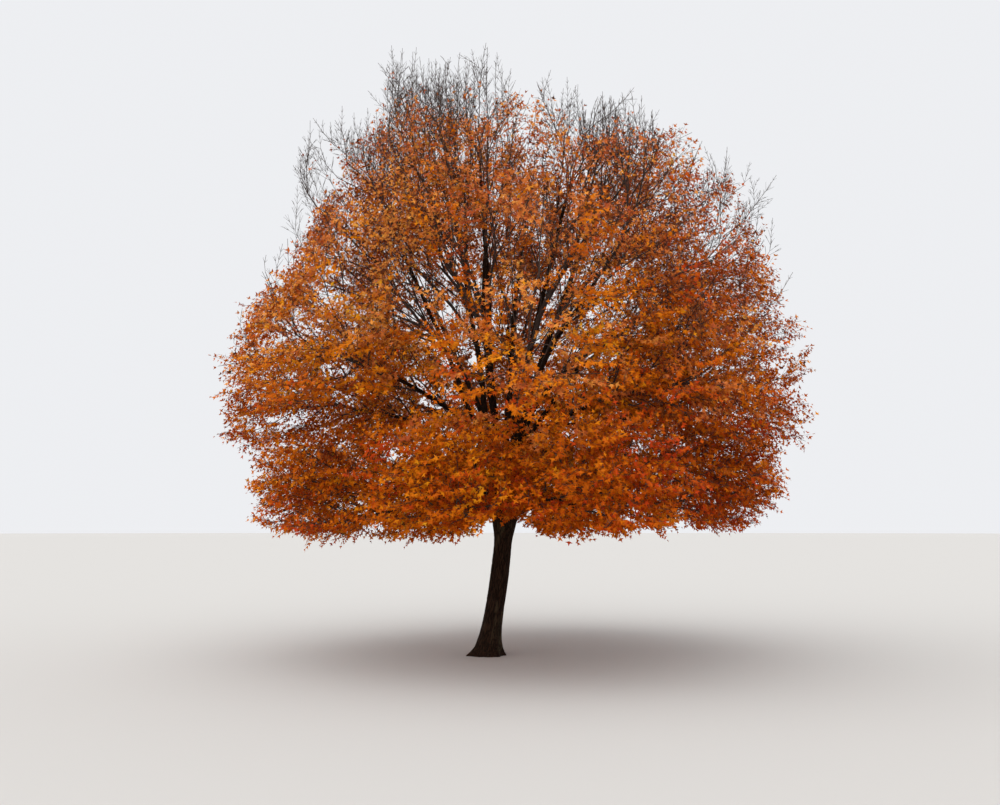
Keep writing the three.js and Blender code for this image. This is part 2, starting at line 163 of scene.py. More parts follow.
# %% Lay out the masses
def lay_out_masses():
    """Every mass: its name, its tier, the ways out and aside, its middle and its own dice."""
    masses = []
    for row, tier in enumerate(TIERS):
        for i in range(tier["count"]):
            draw = seeded(PLACE_SEED * (row + 1) + i)
            turn = tier["turn"] + 360 * i / tier["count"] + (draw() - 0.5) * UNEVEN["turn"]
            out = tier["out"] * (1 + (draw() - 0.5) * UNEVEN["out"])
            lift = tier["size"][2] * (draw() - 0.5) * UNEVEN["height"]
            turn = math.radians(turn)
            outward = np.array([math.cos(turn), math.sin(turn), 0.0])
            slope = -TOP_SLOPE * out * outward[0] if tier["bare"][1] > 0 else 0.0
            middle = np.array([AXIS_X + tier["shift"], 0.0, tier["height"] + lift + slope])
            masses.append(dict(
                name=f"{tier['name']}_{i + 1}", tier=tier, index=i, outward=outward,
                sideways=np.array([-outward[1], outward[0], 0.0]),
                middle=middle + out * outward, phases=[draw() for _ in PRIMES],
            ))
    return masses


masses = lay_out_masses()
middles = np.array([mass["middle"] for mass in masses])

# %% [markdown]
# ## The limbs' ways
# The trunk bows gently to the right and forks above head height. Five leaders rise almost upright
# from its head, side boughs leave the leaders, and a ring of low boughs leaves the trunk itself.
# Each limb is one curve with three handles: its foot, its tip, and the knee where it bends. It
# could be drawn by hand, but then no limb would follow when a mass is moved in the table.

# %% Trace the trunk and the boughs
TRUNK_LEAN = 0.235
BOUGH_KNEE = 0.45  # how far along its way a bough bends
ENTRY_INWARD, ENTRY_BELOW = 0.5, 0.45  # a bough ends this far inside its mass, in half sizes
TIP_STEP = 0.25  # the last quarter of a bough gives the way on which its twigs set off


def trunk_middle(z):
    """The middle of the trunk at a height, which bows to the right."""
    z = np.asarray(z, dtype=float)
    x = TRUNK_LEAN * np.sin(0.5 * math.pi * z / TRUNK_TOP)
    return np.stack([x, np.zeros_like(x), z], axis=-1)


def lay_out_boughs():
    """Gives every mass its bough's handles, and the place and the way in which that enters."""
    leaders = []
    for mass in masses:
        tier, outward = mass["tier"], mass["outward"]
        share, stagger, off = tier["foot"]
        height = share + stagger * (mass["index"] % 2)
        if tier["on"] == "trunk":
            foot = trunk_middle(height * TRUNK_TOP) + off * outward
        else:
            leader = max(leaders, key=lambda other: other["outward"] @ outward)
            foot = bezier(*leader["handles"], [height])[0]
        size = tier["size"]
        tip = mass["middle"] - ENTRY_INWARD * size[0] * outward - ENTRY_BELOW * size[2] * UP
        rise = math.radians(tier["rise"])
        bend = BOUGH_KNEE * np.linalg.norm(tip - foot)
        knee = foot + bend * (math.cos(rise) * outward + math.sin(rise) * UP)
        mass["handles"] = (foot, knee, tip)
        before = bezier(foot, knee, tip, [1 - TIP_STEP])[0]
        mass["entry"], mass["entry_way"] = tip, unit(tip - before)
        if tier["name"] == "crest":
            leaders.append(mass)


lay_out_boughs()
print("the leaders' feet stand", masses[0]["handles"][0].round(3), "and round it")

# %% Trace the boughs' real ways
LIMB_SPACING = 0.016  # between the points of a bough's way
LIMB_WANDER = 0.028  # how far it strays, shared out over its waves
LIMB_WAVES = (2, 3, 5, 9)  # half waves from its foot to its tip
BOUGH_SEED = 300


def bough_way(number):
    """A bough's curve with a few slow bends, as nothing on a tree is drawn with a compass."""
    foot, knee, tip = masses[number]["handles"]
    share = np.linspace(0, 1, int(np.linalg.norm(tip - foot) / LIMB_SPACING) + 2)
    way = bezier(foot, knee, tip, share)
    random = np.random.default_rng(BOUGH_SEED + number)
    for waves in LIMB_WAVES:
        way += np.sin(math.pi * waves * share)[:, None] * random.normal(0, LIMB_WANDER / waves, 3)
    return way


bough_ways = [bough_way(number) for number in range(len(masses))]
print("the boughs are", round(min(len(way) for way in bough_ways) * LIMB_SPACING, 1), "to",
      round(max(len(way) for way in bough_ways) * LIMB_SPACING, 1), "m long")

# %% [markdown]
# ## The crown's outline and its open places
# Each mass keeps to its own space, halfway to the next. Seen by a standing eye in front of the
# tree, the leaves fill a broad dome that is higher on the left, and the bare twigs stand a forearm
# above it. Where that eye sees sky through the crown, only some of the sprays grow. Both are given
# in the upright plane through the trunk. The back of the crown has the same outline as its front,
# and the dome is turned on the tree's axis, so that it is as round from the sides.

# %% The space of each mass
BOX_MARGIN = 0.10  # a spray's own leaves reach on this far
DRAWN_IN, DRAWN_TIMES = 0.1, 14  # a point outside goes back by this share of its way, so many times
FACING = 0.25  # a mass reaches out to a side that it faces by more than this


def room_at(points, number):
    """How far inside the space of the mass of that number each point lies."""
    room = np.minimum(points[:, 2] - CROWN_BASE, cad_high[2] - points[:, 2])
    for k in range(2):
        room = np.minimum(room, points[:, k] - cad_low[k] - BOX_MARGIN)
        room = np.minimum(room, cad_high[k] - BOX_MARGIN - points[:, k])
    own = np.sum((points - middles[number]) ** 2, axis=1)
    for other, middle in enumerate(middles):
        if other != number:
            further = np.sum((points - middle) ** 2, axis=1) - own
            between = np.linalg.norm(middle - middles[number])
            room = np.minimum(room, further / (2 * between))
    return room


def keep_to_room(points, number):
    """Points outside the space of their mass go back towards its middle."""
    for _ in range(DRAWN_TIMES):
        outside = room_at(points, number) < 0
        points[outside] += DRAWN_IN * (middles[number] - points[outside])
    return points


def reach_out(points, number):
    """Stretches the points of a mass outwards until they reach as far as its solid does."""
    mass = masses[number]
    low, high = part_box("leaves_" + mass["name"])
    for k in range(2):
        for side, edge in ((1, high[k] - BOX_MARGIN), (-1, low[k] + BOX_MARGIN)):
            if side * mass["outward"][k] > FACING:
                aside = side * (points[:, k] - mass["middle"][k])
                stretch = max(1, side * (edge - mass["middle"][k]) / aside.max())
                points[aside > 0, k] = mass["middle"][k] + side * stretch * aside[aside > 0]
    return points


print("the first mass has", room_at(middles[:1], 0)[0].round(2), "m of room round its middle")

# %% What the eye sees, and the outline
EYE = np.array([0.17, -11.98, 1.55])
# the top of the leaves and the top of the bare twigs: to the right and up
LEAF_LINE = np.array([
    (-3.40, 3.75), (-3.00, 4.50), (-2.50, 5.00), (-2.20, 5.80), (-1.70, 6.80), (-1.20, 7.30),
    (-0.95, 7.55), (-0.70, 7.10), (-0.20, 7.05), (0.15, 7.30), (0.60, 7.30), (1.00, 7.15),
    (1.30, 6.75), (2.05, 6.85), (2.80, 6.75), (3.15, 6.20), (3.35, 6.00), (3.60, 5.15),
    (3.95, 4.60), (4.20, 3.80),
])
BARE_LINE = np.array([
    (-3.30, 4.20), (-2.95, 5.30), (-2.60, 6.30), (-2.35, 7.20), (-1.80, 7.45), (-1.20, 8.05),
    (-0.70, 7.85), (-0.20, 8.05), (0.80, 7.80), (1.30, 7.35), (1.90, 7.40), (3.00, 6.90),
    (3.40, 6.40), (3.85, 6.25), (4.10, 5.00),
])
LEAF_TOP, BARE_TOP = 7.12, 7.45  # the highest leaves and bare twigs, in metres over the ground
BREADTH = 0.93  # how broad the dome is, as a share of its depth


def seen_at(points):
    """Where the eye sees each point, in the upright plane through the trunk."""
    stretch = EYE[1] / (EYE[1] - points[:, 1])
    x = EYE[0] + (points[:, 0] - EYE[0]) * stretch
    return x, EYE[2] + (points[:, 2] - EYE[2]) * stretch


def top_at(points, line, top):
    """The outline's height at each point: as it is seen, the same behind, and turned on its axis."""
    near = np.stack([points[:, 0], -np.abs(points[:, 1]), points[:, 2]], axis=-1)
    x, _ = seen_at(near)
    seen = EYE[2] + (np.interp(x, *line.T) - EYE[2]) * (EYE[1] - near[:, 1]) / EYE[1]
    aside = points[:, 0] - AXIS_X
    out = np.maximum(np.hypot(aside, BREADTH * points[:, 1]), 0.01)
    left, right = np.interp(AXIS_X - out, *line.T), np.interp(AXIS_X + out, *line.T)
    dome = left + (right - left) * (0.5 + 0.5 * aside / out)
    return np.minimum(seen, np.minimum(dome, top))


print("over its axis the crown is", top_at(np.array([[AXIS_X, 0, 0]]), LEAF_LINE, LEAF_TOP)[0].round(2),
      "m high")

# %% Up to the outline, and no further
RISING, RISING_FROM = 1.0, 0.15  # a spray less far below the outline rises, if over its middle
SHORT_OF_TOP = 0.5  # how much of its unevenness a spray keeps under the crown's highest level


def keep_to_outline(points, middle, line, top, lower):
    """Points a little below the outline rise to it, and points above it go back."""
    gap = top_at(points, line, top) - lower - points[:, 2]
    near = (gap > 0) & (gap < RISING) & (points[:, 2] > middle[2] + RISING_FROM)
    points[near, 2] += gap[near]
    points[:, 2] = np.minimum(points[:, 2], cad_high[2] - SHORT_OF_TOP * lower)
    for _ in range(DRAWN_TIMES):
        over = points[:, 2] + lower > top_at(points, line, top)
        points[over] += DRAWN_IN * (middle - points[over])
    return points


# %% The open places
# middle to the right and up, half width and half height, share of the sprays that grow there, and
# how far back the place reaches
OPEN_PLACES = np.array([
    (-1.85, 3.40, 0.34, 0.20, 0.50, 9),
    (-0.75, 3.30, 0.41, 0.25, 0.50, 9),
    (-1.31, 2.52, 0.22, 0.16, 0.50, 9),
    (-1.85, 2.15, 0.34, 0.12, 0.75, 9),
    (1.46, 3.65, 0.28, 0.17, 0.50, 9),
    (2.13, 2.65, 0.44, 0.17, 0.40, 9),
    (2.88, 3.75, 0.32, 0.17, 0.60, 9),
    (0.35, 4.30, 1.30, 1.20, 0.28, 0.3),
    (0.45, 4.60, 1.70, 1.10, 0.64, 9),
    (0.22, 1.40, 0.48, 0.30, 0.0, 9),
    (0.75, 1.80, 0.60, 0.14, 0.70, 9),
    (3.80, 1.55, 0.40, 0.35, 0.10, 9),
])


def share_growing(points):
    """The share of the sprays that grow where each point is seen."""
    x, z = seen_at(points)
    share = np.ones(len(points))
    for middle_x, middle_z, wide, high, growing, back in OPEN_PLACES:
        inside = np.hypot((x - middle_x) / wide, (z - middle_z) / high) < 1
        inside &= points[:, 1] < back
        share[inside] = np.minimum(share[inside], growing)
    return share


print(len(OPEN_PLACES), "places are more open than the rest")

# %% [markdown]
# ## Growing the twigs
# The points that twigs grow to are spread evenly over the skin of each mass. The one furthest from
# all that has grown is taken next, and its twig leaves the joint from which the way there, and on
# home to the bough, is shortest. That is the solids' own rule: there a mass has five twigs, and
# here it has a few hundred, so the thin ones fork off the thick ones as on the real tree. A line
# of its own from the bough to each point would be simpler, but would give a broom, not a branch.

# %% Where the sprays end
# points that the twigs of a mass may grow to, and more where some are bare
SPRAYS = dict(crest=235, upper=250, shoulder=370, skirt=400, heart=120)
SPRAY_SEED = 100
SKIN = 0.34  # the smaller, the more of the sprays lie at the skin of their mass
OUTWARD = 0.35  # the larger, the more of them lie on the side away from the trunk
# two gives an ellipsoid, more fills the corners between masses
BOXY = dict(crest=3.2, upper=3.6, shoulder=4.2, skirt=3.6, heart=3.2)
INNER = dict(crest=1.0, upper=1.1, shoulder=1.2, skirt=1.9, heart=1.0)  # stretch towards the trunk
INSET = (0.04, 0.04, 0.06)  # how far short of the mass's skin a spray ends
HANGING = 0.36  # how far the outer sprays of the shoulders hang down towards the skirt
LAYER, DROOP = 0.46, 0.22  # height between the layers of sprays, and their fall outwards
LAYERED = dict(crest=0.1, upper=0.2, shoulder=0.22, skirt=0.14, heart=0.1)  # pull of a layer
# bare twigs grow above this share of a mass, the shortest has this share of the reach, and they lean
BARE_ABOVE, BARE_SHORTEST, BARE_LEAN = 0.1, 0.6, 0.36
BARE_RISING = (0.45, 1.20)  # the share of bare twigs rises from the middle of a mass to its top
MORE_BARE, BARE_REACH = 1.9, 1.4  # of the finer twigs more are bare, and they reach further
SHOULDER_BARE = (0.09, 0.42)  # the shoulders' solids have none
UNEVEN_TOP, UNEVEN_BARE = 0.30, 0.75  # how far below the outlines a leafy and a bare one may end


def spray_points(number):
    """Where the sprays of a mass end, and which of them are bare shoots."""
    mass = masses[number]
    tier, phases = mass["tier"], mass["phases"]
    bare_share, reach = SHOULDER_BARE if tier["name"] == "shoulder" else tier["bare"]
    share, reach = MORE_BARE * bare_share, BARE_REACH * reach
    count = round(SPRAYS[tier["name"]] * (1 + share))
    turns, lifts, strips = ((halton(count, p) + phase) % 1 for p, phase in zip(PRIMES, phases))
    deep = halton(count, 2) ** SKIN
    aside = 2 * turns - 1
    turn = math.pi * aside * np.abs(aside) ** OUTWARD
    lift = 2 * lifts - 1
    level = np.sqrt(1 - lift**2)
    ways = np.stack([level * np.cos(turn), level * np.sin(turn), lift], axis=-1)
    boxy = BOXY[tier["name"]]
    ways /= np.sum(np.abs(ways) ** boxy, axis=1, keepdims=True) ** (1 / boxy)
    ways[:, 0] = np.where(ways[:, 0] < 0, ways[:, 0] * INNER[tier["name"]], ways[:, 0])
    ways *= deep[:, None] * (np.array(tier["size"]) - INSET)
    points = mass["middle"] + ways @ np.stack([mass["outward"], mass["sideways"], UP])
    if tier["name"] == "shoulder":
        points[:, 2] -= HANGING * (lift < 0) * np.clip(ways[:, 0] / tier["size"][0], 0, 1) ** 2
    points = reach_out(points, number)
    random = np.random.default_rng(SPRAY_SEED + number)
    level = points[:, 2] + DROOP * np.hypot(points[:, 0] - AXIS_X, points[:, 1])
    offset = random.uniform(0, LAYER)
    nearest = np.rint((level - offset) / LAYER) * LAYER + offset
    points[:, 2] += LAYERED[tier["name"]] * (nearest - level)
    bare = (lift > BARE_ABOVE) & (strips < share * np.interp(lift, (0, 1), BARE_RISING))
    lower = random.uniform(0, 1, count) * np.where(bare, UNEVEN_BARE, UNEVEN_TOP)
    reach = reach * (BARE_SHORTEST + (1 - BARE_SHORTEST) * deep) * bare
    points += reach[:, None] * (BARE_LEAN * mass["outward"] + UP)
    for kind, line, top in ((~bare, LEAF_LINE, LEAF_TOP), (bare, BARE_LINE, BARE_TOP)):
        points[kind] = keep_to_outline(points[kind], mass["middle"], line, top, lower[kind])
    points = keep_to_room(points, number)
    kept = (room_at(points, number) > 0) & (random.random(count) < share_growing(points))
    return points[kept], bare[kept]


# %% The way of one twig
TWIG_KNEE = 0.35  # how far along its way a twig bends, from either end
# how much of its rise a leafy twig keeps at its end, and how far it arches out
FLAT = dict(crest=1.0, upper=0.8, shoulder=0.5, skirt=0.4, heart=1.0)
ARCH = dict(crest=0.10, upper=0.22, shoulder=0.40, skirt=0.45, heart=0.05)
TWIG_STRETCH = 0.23  # between the bends of a twig
WANDER = 0.009  # how far a twig strays from its even curve at each bend


def twig_path(foot, way, end, bare, outward, tier_name, random):
    """A twig sets off the way its joint points. A leafy one arches out, a bare one stands up."""
    gap = end - foot
    length = np.linalg.norm(gap)
    last = gap / length * (1, 1, FLAT[tier_name]) + ARCH[tier_name] * outward
    if bare:
        last = gap / length + UP + BARE_LEAN * outward
    first_knee = foot + TWIG_KNEE * length * way
    last_knee = end - TWIG_KNEE * length * unit(last)
    steps = max(2, round(length / TWIG_STRETCH))
    t = np.linspace(0, 1, steps + 1)[:, None]
    path = (1 - t) ** 3 * foot + 3 * t * (1 - t) ** 2 * first_knee
    path += 3 * t**2 * (1 - t) * last_knee + t**3 * end
    path[1:-1] += random.normal(0, WANDER, (steps - 1, 3))
    return path


# %% Grow the masses
# how much a long way home counts against a joint: the more, the straighter and longer the twigs
HOMING = dict(crest=0.88, upper=0.86, shoulder=0.72, skirt=0.70, heart=0.86)
AHEAD = 0.25  # below this share of its length ahead of the joint, a twig turns back
TURNING_BACK = 0.9  # how much turning back counts against a joint, in metres
STEEP = 1.3  # how much a way aside counts against the joint of a bare twig
TWIG_RISE = dict(crest=0.8, upper=0.6, shoulder=0.25, skirt=0.15, heart=0.8)  # how much it turns up
STEM_BENDS = 5  # of the straight stem from the bough's end to the middle of the mass
BOUGH_CLEAR = 0.40  # the lower part of a bough bears no twigs
BOUGH_STEP = 8  # every so many points of its way, it may bear one


def grow_mass(number):
    """The twigs of one mass: a list of paths, each with its parent and whether it is bare."""
    mass = masses[number]
    tier_name, tier_size = mass["tier"]["name"], mass["tier"]["size"][0]
    rise = TWIG_RISE[tier_name] * UP
    random = np.random.default_rng(number)
    points, bare = spray_points(number)
    bough = bough_ways[number]
    reach = np.linalg.norm(mass["middle"] - bough[-1])
    stem = bough[-1] + np.linspace(0, reach, STEM_BENDS)[:, None] * mass["entry_way"]
    twigs = [dict(path=stem, parent=None, place=0, bare=False)]
    at, ways, home, owner, place = [], [], [], [], []

    def add_joints(twig, path, from_home):
        """Every bend of a path becomes a joint. Gives the length of the way home from its end."""
        run = np.cumsum(np.linalg.norm(np.diff(path, axis=0), axis=1))
        for i in range(1, len(path)):
            at.append(path[i])
            ways.append(unit(path[min(i + 1, len(path) - 1)] - path[i - 1]))
            home.append(from_home + run[i - 1])
            owner.append(twig)
            place.append(i)
        return from_home + run[-1]

    end_of_bough = add_joints(None, bough[int(BOUGH_CLEAR * len(bough)) :: BOUGH_STEP], 0.0)
    add_joints(0, stem, end_of_bough)
    alone = np.linalg.norm(points - bough[-1], axis=1)
    for _ in range(len(points)):
        pick = int(np.argmax(alone))
        end = points[pick]
        gap = end - np.array(at)
        length = np.linalg.norm(gap, axis=1)
        back = np.sum(gap * np.array(ways), axis=1) < AHEAD * length
        against = HOMING[tier_name] * np.array(home) + TURNING_BACK * back
        if bare[pick]:
            against += STEEP * np.hypot(gap[:, 0], gap[:, 1])
        joint = int(np.argmin(length + against))
        outward = (end - mass["middle"]) * (1, 1, 0) / tier_size
        way = unit(ways[joint] + rise)
        path = twig_path(at[joint], way, end, bare[pick], outward, tier_name, random)
        twigs.append(dict(path=path, parent=owner[joint], place=place[joint], bare=bool(bare[pick])))
        add_joints(len(twigs) - 1, path, home[joint])
        alone = np.minimum(alone, np.linalg.norm(points - end, axis=1))
        alone[pick] = -1.0
    return twigs


crown = [grow_mass(number) for number in range(len(masses))]
print(sum(len(twigs) for twigs in crown), "twigs in the crown,",
      sum(twig["bare"] for twigs in crown for twig in twigs), "of them bare")

# %% [markdown]
# ## How thick a twig is
# A limb is as thick as what hangs on it: the cross sections of two branches add up to about that of
# the branch they leave. So every twig end is counted back to the bough, and the radius at each bend
# follows from the number of ends beyond it, so that the first one is as thick as the bough's end.

# %% Count the ends and give every bend its radius
TWIG_TIP = 0.0023  # radius of a last year's shoot
THICKENING = 0.47  # the highest power, and a half would keep the sum of the cross sections


def give_thickness(twigs, bough_tip):
    """Gives every bend of a mass's twigs its radius, and returns the power that it grows with."""
    for twig in twigs:
        twig["ends"] = np.ones(len(twig["path"]))
    for twig in reversed(twigs):
        if twig["parent"] is not None:
            twigs[twig["parent"]]["ends"][: twig["place"] + 1] += twig["ends"][0]
    thickening = min(THICKENING, math.log(bough_tip / TWIG_TIP) / math.log(twigs[0]["ends"][0]))
    for twig in twigs:
        twig["thick"] = TWIG_TIP * twig["ends"] ** thickening
    return thickening


powers = [give_thickness(twigs, mass["tier"]["bough"][1]) for twigs, mass in zip(crown, masses)]
print("radius grows with the power", round(min(powers), 2), "to", round(max(powers), 2),
      "of the number of ends")

# %% [markdown]
# ## Shoots and leaves
# This maple bears everything in opposite pairs. Behind a leafy twig's end sit pairs of leaves and
# pairs of short shoots with leaves of their own, and they turn until the whole spray lies in one
# flat fan that faces up and out to the light. That is what gives the crown its layers. The bare
# twigs of the top have dropped their leaves and show their pairs standing crosswise.

# %% Pairs along a twig
PAIR_SPACING, PAIRS = 0.075, 5
FOOT_CLEAR = 0.02  # no pair sits nearer to a twig's foot
# the shortest and the longest shoot
SHOOT_LENGTH = dict(crest=(0.11, 0.27), upper=(0.11, 0.27), shoulder=(0.11, 0.25),
                    skirt=(0.10, 0.22), heart=(0.11, 0.27))
FORK = 0.95  # how far a shoot turns out of its twig's way
# how far a fan faces outwards, how uneven fans are, and how uneven the pairs within one are
FAN_OUT, FAN_UNEVEN, PAIR_UNEVEN = 0.45, 0.55, 0.25
LEAF_PAIRS = (0.25, 0.45, 0.65, 0.85)  # where along a shoot its pairs of leaves sit
LEAFLESS = dict(crest=0.08, upper=0.08, shoulder=0.03, skirt=0.0, heart=0.15)  # of the sprays
NO_SIDE = np.zeros(3)  # of the leaf at a tip, which looks straight on


def places_behind(path, spacing, count):
    """Points at even distances behind the tip of a path, and the path's way there."""
    steps = np.diff(path, axis=0)
    lengths = np.linalg.norm(steps, axis=1)
    run = np.concatenate([[0], np.cumsum(lengths)])
    wanted = run[-1] - spacing * np.arange(1, count + 1)
    wanted = wanted[wanted > FOOT_CLEAR]
    part = np.clip(np.searchsorted(run, wanted, side="right") - 1, 0, len(steps) - 1)
    share = ((wanted - run[part]) / lengths[part])[:, None]
    return path[part] + share * steps[part], unit(steps[part])


def leafy_spray(path, outward, tier_name, spray, random):
    """One spray's shoots, as foot and tip, and its leaves, as foot, way, side and spray."""
    shoots, leaves = [], []
    feet, ways = places_behind(path, PAIR_SPACING, PAIRS)
    face = UP + FAN_OUT * outward + random.normal(0, FAN_UNEVEN, 3)
    leaves.append((path[-1], unit(path[-1] - path[-2]), NO_SIDE, spray))
    for k, (foot, way) in enumerate(zip(feet, ways)):
        side = unit(np.cross(face + random.normal(0, PAIR_UNEVEN, 3), way))
        for hand in (1, -1):
            if k % 2 == 0:
                leaves.append((foot, way, hand * side, spray))
                continue
            turned = unit(way + FORK * hand * side)
            tip = foot + random.uniform(*SHOOT_LENGTH[tier_name]) * turned
            shoots.append((foot, tip))
            leaves.append((tip, turned, NO_SIDE, spray))
            across = unit(np.cross(face, turned))
            for share in LEAF_PAIRS:
                spot = foot + share * (tip - foot)
                leaves += [(spot, turned, across, spray), (spot, turned, -across, spray)]
    return shoots, leaves


# %% Pairs along a bare twig
BARE_SPACING, BARE_PAIRS = 0.085, 9
BARE_TURN = 0.35  # how far a pair strays from standing across the one before it
BARE_FORK, BARE_RISE = 0.72, 0.16  # how far a bare shoot turns out of its twig's way, and up again
BARE_LENGTH = (0.06, 0.36)  # of the shoots nearest its tip and of the longest
BARE_EVEN = (0.55, 1.0)  # the share of its place's length that a shoot has
FORKED, FORK_PLACE = 0.13, 0.55  # a longer shoot forks once more, at this share of its length
ARM_LENGTH, ARM_FORK = 0.42, 0.4  # how long its arms are, and how far they turn out
HANGING_ON, HANGING_FROM = 0.07, 4  # share of the bare shoots that keep leaves, from that pair down


def bare_spray(path, spray, random):
    """The shoots of one bare twig, as foot and tip, and the few leaves that still hang on it."""
    shoots, leaves = [], []
    feet, ways = places_behind(path, BARE_SPACING, BARE_PAIRS)
    start = random.integers(2)
    for k, (foot, way) in enumerate(zip(feet, ways)):
        level = unit(np.cross(way, UP) + 1e-6)
        turn = 0.5 * math.pi * (k + start) + random.normal(0, BARE_TURN)
        side = math.cos(turn) * level + math.sin(turn) * np.cross(level, way)
        longest = BARE_LENGTH[0] + (BARE_LENGTH[1] - BARE_LENGTH[0]) * k / (BARE_PAIRS - 1)
        for hand in (1, -1):
            length = longest * random.uniform(*BARE_EVEN)
            turned = unit(way + BARE_FORK * hand * side + BARE_RISE * UP)
            tip = foot + length * turned
            shoots.append((foot, tip))
            across = unit(np.cross(turned, side + UP))
            if k >= HANGING_FROM and random.random() < HANGING_ON:
                leaves += [(tip, turned, aside, spray) for aside in (NO_SIDE, across, -across)]
            if length > FORKED:
                middle = foot + FORK_PLACE * (tip - foot)
                for arm in (1, -1):
                    arm_way = unit(turned + ARM_FORK * arm * across)
                    shoots.append((middle, middle + ARM_LENGTH * length * arm_way))
    return shoots, leaves


# %% Deal the shoots and leaves out over the masses
# the share of the leaves that haven't fallen
LEAVES_LEFT = dict(crest=0.78, upper=0.78, shoulder=1.0, skirt=1.0, heart=0.5)
THINNING, FEWEST = 0.8, 0.58  # from this far below the outline, the leaves get fewer up to it
THIN_ABOVE = 5.2  # but only above this height
NEAR_AXIS = 0.3  # nearer to the crown's axis than this, a fan faces out less and less
DRESS_SEED = 500


def dress_mass(number):
    """Leafy shoots, bare shoots and leaves of one mass."""
    random = np.random.default_rng(DRESS_SEED + number)
    tier_name = masses[number]["tier"]["name"]
    shoots, bare_shoots, leaves = [], [], []
    for spray, twig in enumerate(crown[number][1:]):
        path = twig["path"]
        if twig["bare"]:
            more_shoots, more_leaves = bare_spray(path, spray, random)
            bare_shoots += more_shoots
            leaves += more_leaves
            continue
        outward = path[-1] - np.array([AXIS_X, 0, path[-1][2]])
        outward = outward / max(np.linalg.norm(outward), NEAR_AXIS)
        more_shoots, more_leaves = leafy_spray(path, outward, tier_name, spray, random)
        shoots += more_shoots
        if random.random() < LEAFLESS[tier_name]:
            continue
        x, z = seen_at(path[-1:])
        below = (np.interp(x[0], *LEAF_LINE.T) - z[0]) / THINNING
        below = max(below, THIN_ABOVE + 1 - z[0])
        left = np.clip(below, FEWEST, 1) * LEAVES_LEFT[tier_name]
        leaves += [leaf for leaf in more_leaves if random.random() < left]
    return shoots, bare_shoots, leaves


dressing = [dress_mass(number) for number in range(len(masses))]
print(*(sum(len(part[k]) for part in dressing) for k in range(3)),
      "leafy shoots, bare shoots and leaves")

# %% [markdown]
# ## One leaf
# The leaf is as broad as long, with three lobes, on a stalk a third of its length. Its side lobes
# are folded up a little from the rib, so that it shades like a real one, and one face for each lobe
# is enough at the few dots that a leaf takes in the picture. A picture of a leaf on a flat card
# would show its veins, but it needs see-through edges, which so many leaves make slow.

# %% Model the leaf
STALK, STALK_WIDTH = 0.30, 0.03
MIDDLE = 0.66  # how far along the rib the side lobes end
# along the rib and aside: the side lobe's tip, and the foot of the middle lobe
SIDE_LOBE, LOBE_FOOT = (0.60, 0.47), (0.48, 0.17)
FOLD, CURL = 0.11, 0.06  # how far the side lobes rise from the rib, and how far its tip hangs


def leaf_object(material):
    """One leaf of four faces, a metre long, along +X with its face up."""
    corners = [(0, STALK_WIDTH / 2, 0), (0, -STALK_WIDTH / 2, 0), (STALK, 0, 0), (MIDDLE, 0, 0)]
    corners.append((1.0, 0, -CURL))
    for side in (1, -1):
        corners += [(SIDE_LOBE[0], side * SIDE_LOBE[1], FOLD), (LOBE_FOOT[0], side * LOBE_FOOT[1], 0)]
    stalk_end, middle, tip, left_lobe, left_foot, right_lobe, right_foot = range(2, 9)
    faces = [
        (0, 1, stalk_end), (stalk_end, middle, left_lobe), (stalk_end, right_lobe, middle),
        (right_foot, tip, left_foot),
    ]
    mesh = bpy.data.meshes.new("leaf")
    mesh.from_pydata(corners, [], faces)
    mesh.materials.append(material)
    return bpy.data.objects.new("leaf", mesh)


# %% [markdown]
# ## Autumn colours
# The leaves turn spray by spray, and neighbouring sprays turn alike: slow waves through the crown
# carry it from brick red over orange to gold. The light inside of the crown is the most golden. Its
# skirt is the deepest and darkest orange: partly the leaves' own colour, partly painted shade from
# the crown above. Higher up, more and more sprays take paler, greyer tints: painted light, for the
# brighter light and the sky's sheen at the top of the crown. Here and there a leaf has gone russet
# or brown. Each spray keeps to one plain tint, give or take its neighbours in the table. A noise in
# one material would turn the colours too, but only plain tints can be dealt out by spray.

# %% Mix the tints
# from the reddest to the most golden, then the withered ones, then the paler, greyer ones that are
# painted light
TINTS = (
    ("brick red", (0.50, 0.050, 0.006)),
    ("rust", (0.52, 0.078, 0.003)),
    ("deep orange", (0.55, 0.109, 0.003)),
    ("orange", (0.61, 0.147, 0.003)),
    ("bright orange", (0.69, 0.200, 0.004)),
    ("amber", (0.75, 0.270, 0.007)),
    ("gold", (0.77, 0.360, 0.018)),
    ("russet", (0.23, 0.045, 0.004)),
    ("brown", (0.10, 0.034, 0.009)),
    # painted light: these last four are paler and greyer than the leaves are, for the brighter light
    # and the sky's sheen high in the crown
    ("faded rust", (0.45, 0.086, 0.022)),
    ("faded orange", (0.58, 0.155, 0.030)),
    ("faded amber", (0.75, 0.275, 0.045)),
    ("faded gold", (0.80, 0.390, 0.065)),
)
WITHERED, PAINTED_LIGHT = 7, 9  # the first of the withered tints and of the painted-light ones
PAINTED_LIGHT_SHARE = ((2.2, 4.8), (0.0, 0.85))  # heights, and the share of the sprays that take the painted-light tints there
WITHERED_SHARE = dict(crest=0.10, upper=0.07, shoulder=0.04, skirt=0.03, heart=0.03)
# the low middle tints at the skirt's heights are partly its leaves' own deep orange and partly painted
# shade from the crown above
TURNED = ((1.5, 2.8, 3.6, 5.0, 7.0), (1.7, 2.4, 3.4, 2.6, 1.9))  # heights, and their middle tints
INSIDE = 0.9  # how many tints more golden the inside is
WAVE_HEIGHT, SPRAY_UNEVEN, LEAF_UNEVEN = 0.42, 0.75, 0.75  # in tints
REDDER_RIGHT = 0.16  # in tints, for every metre to the right


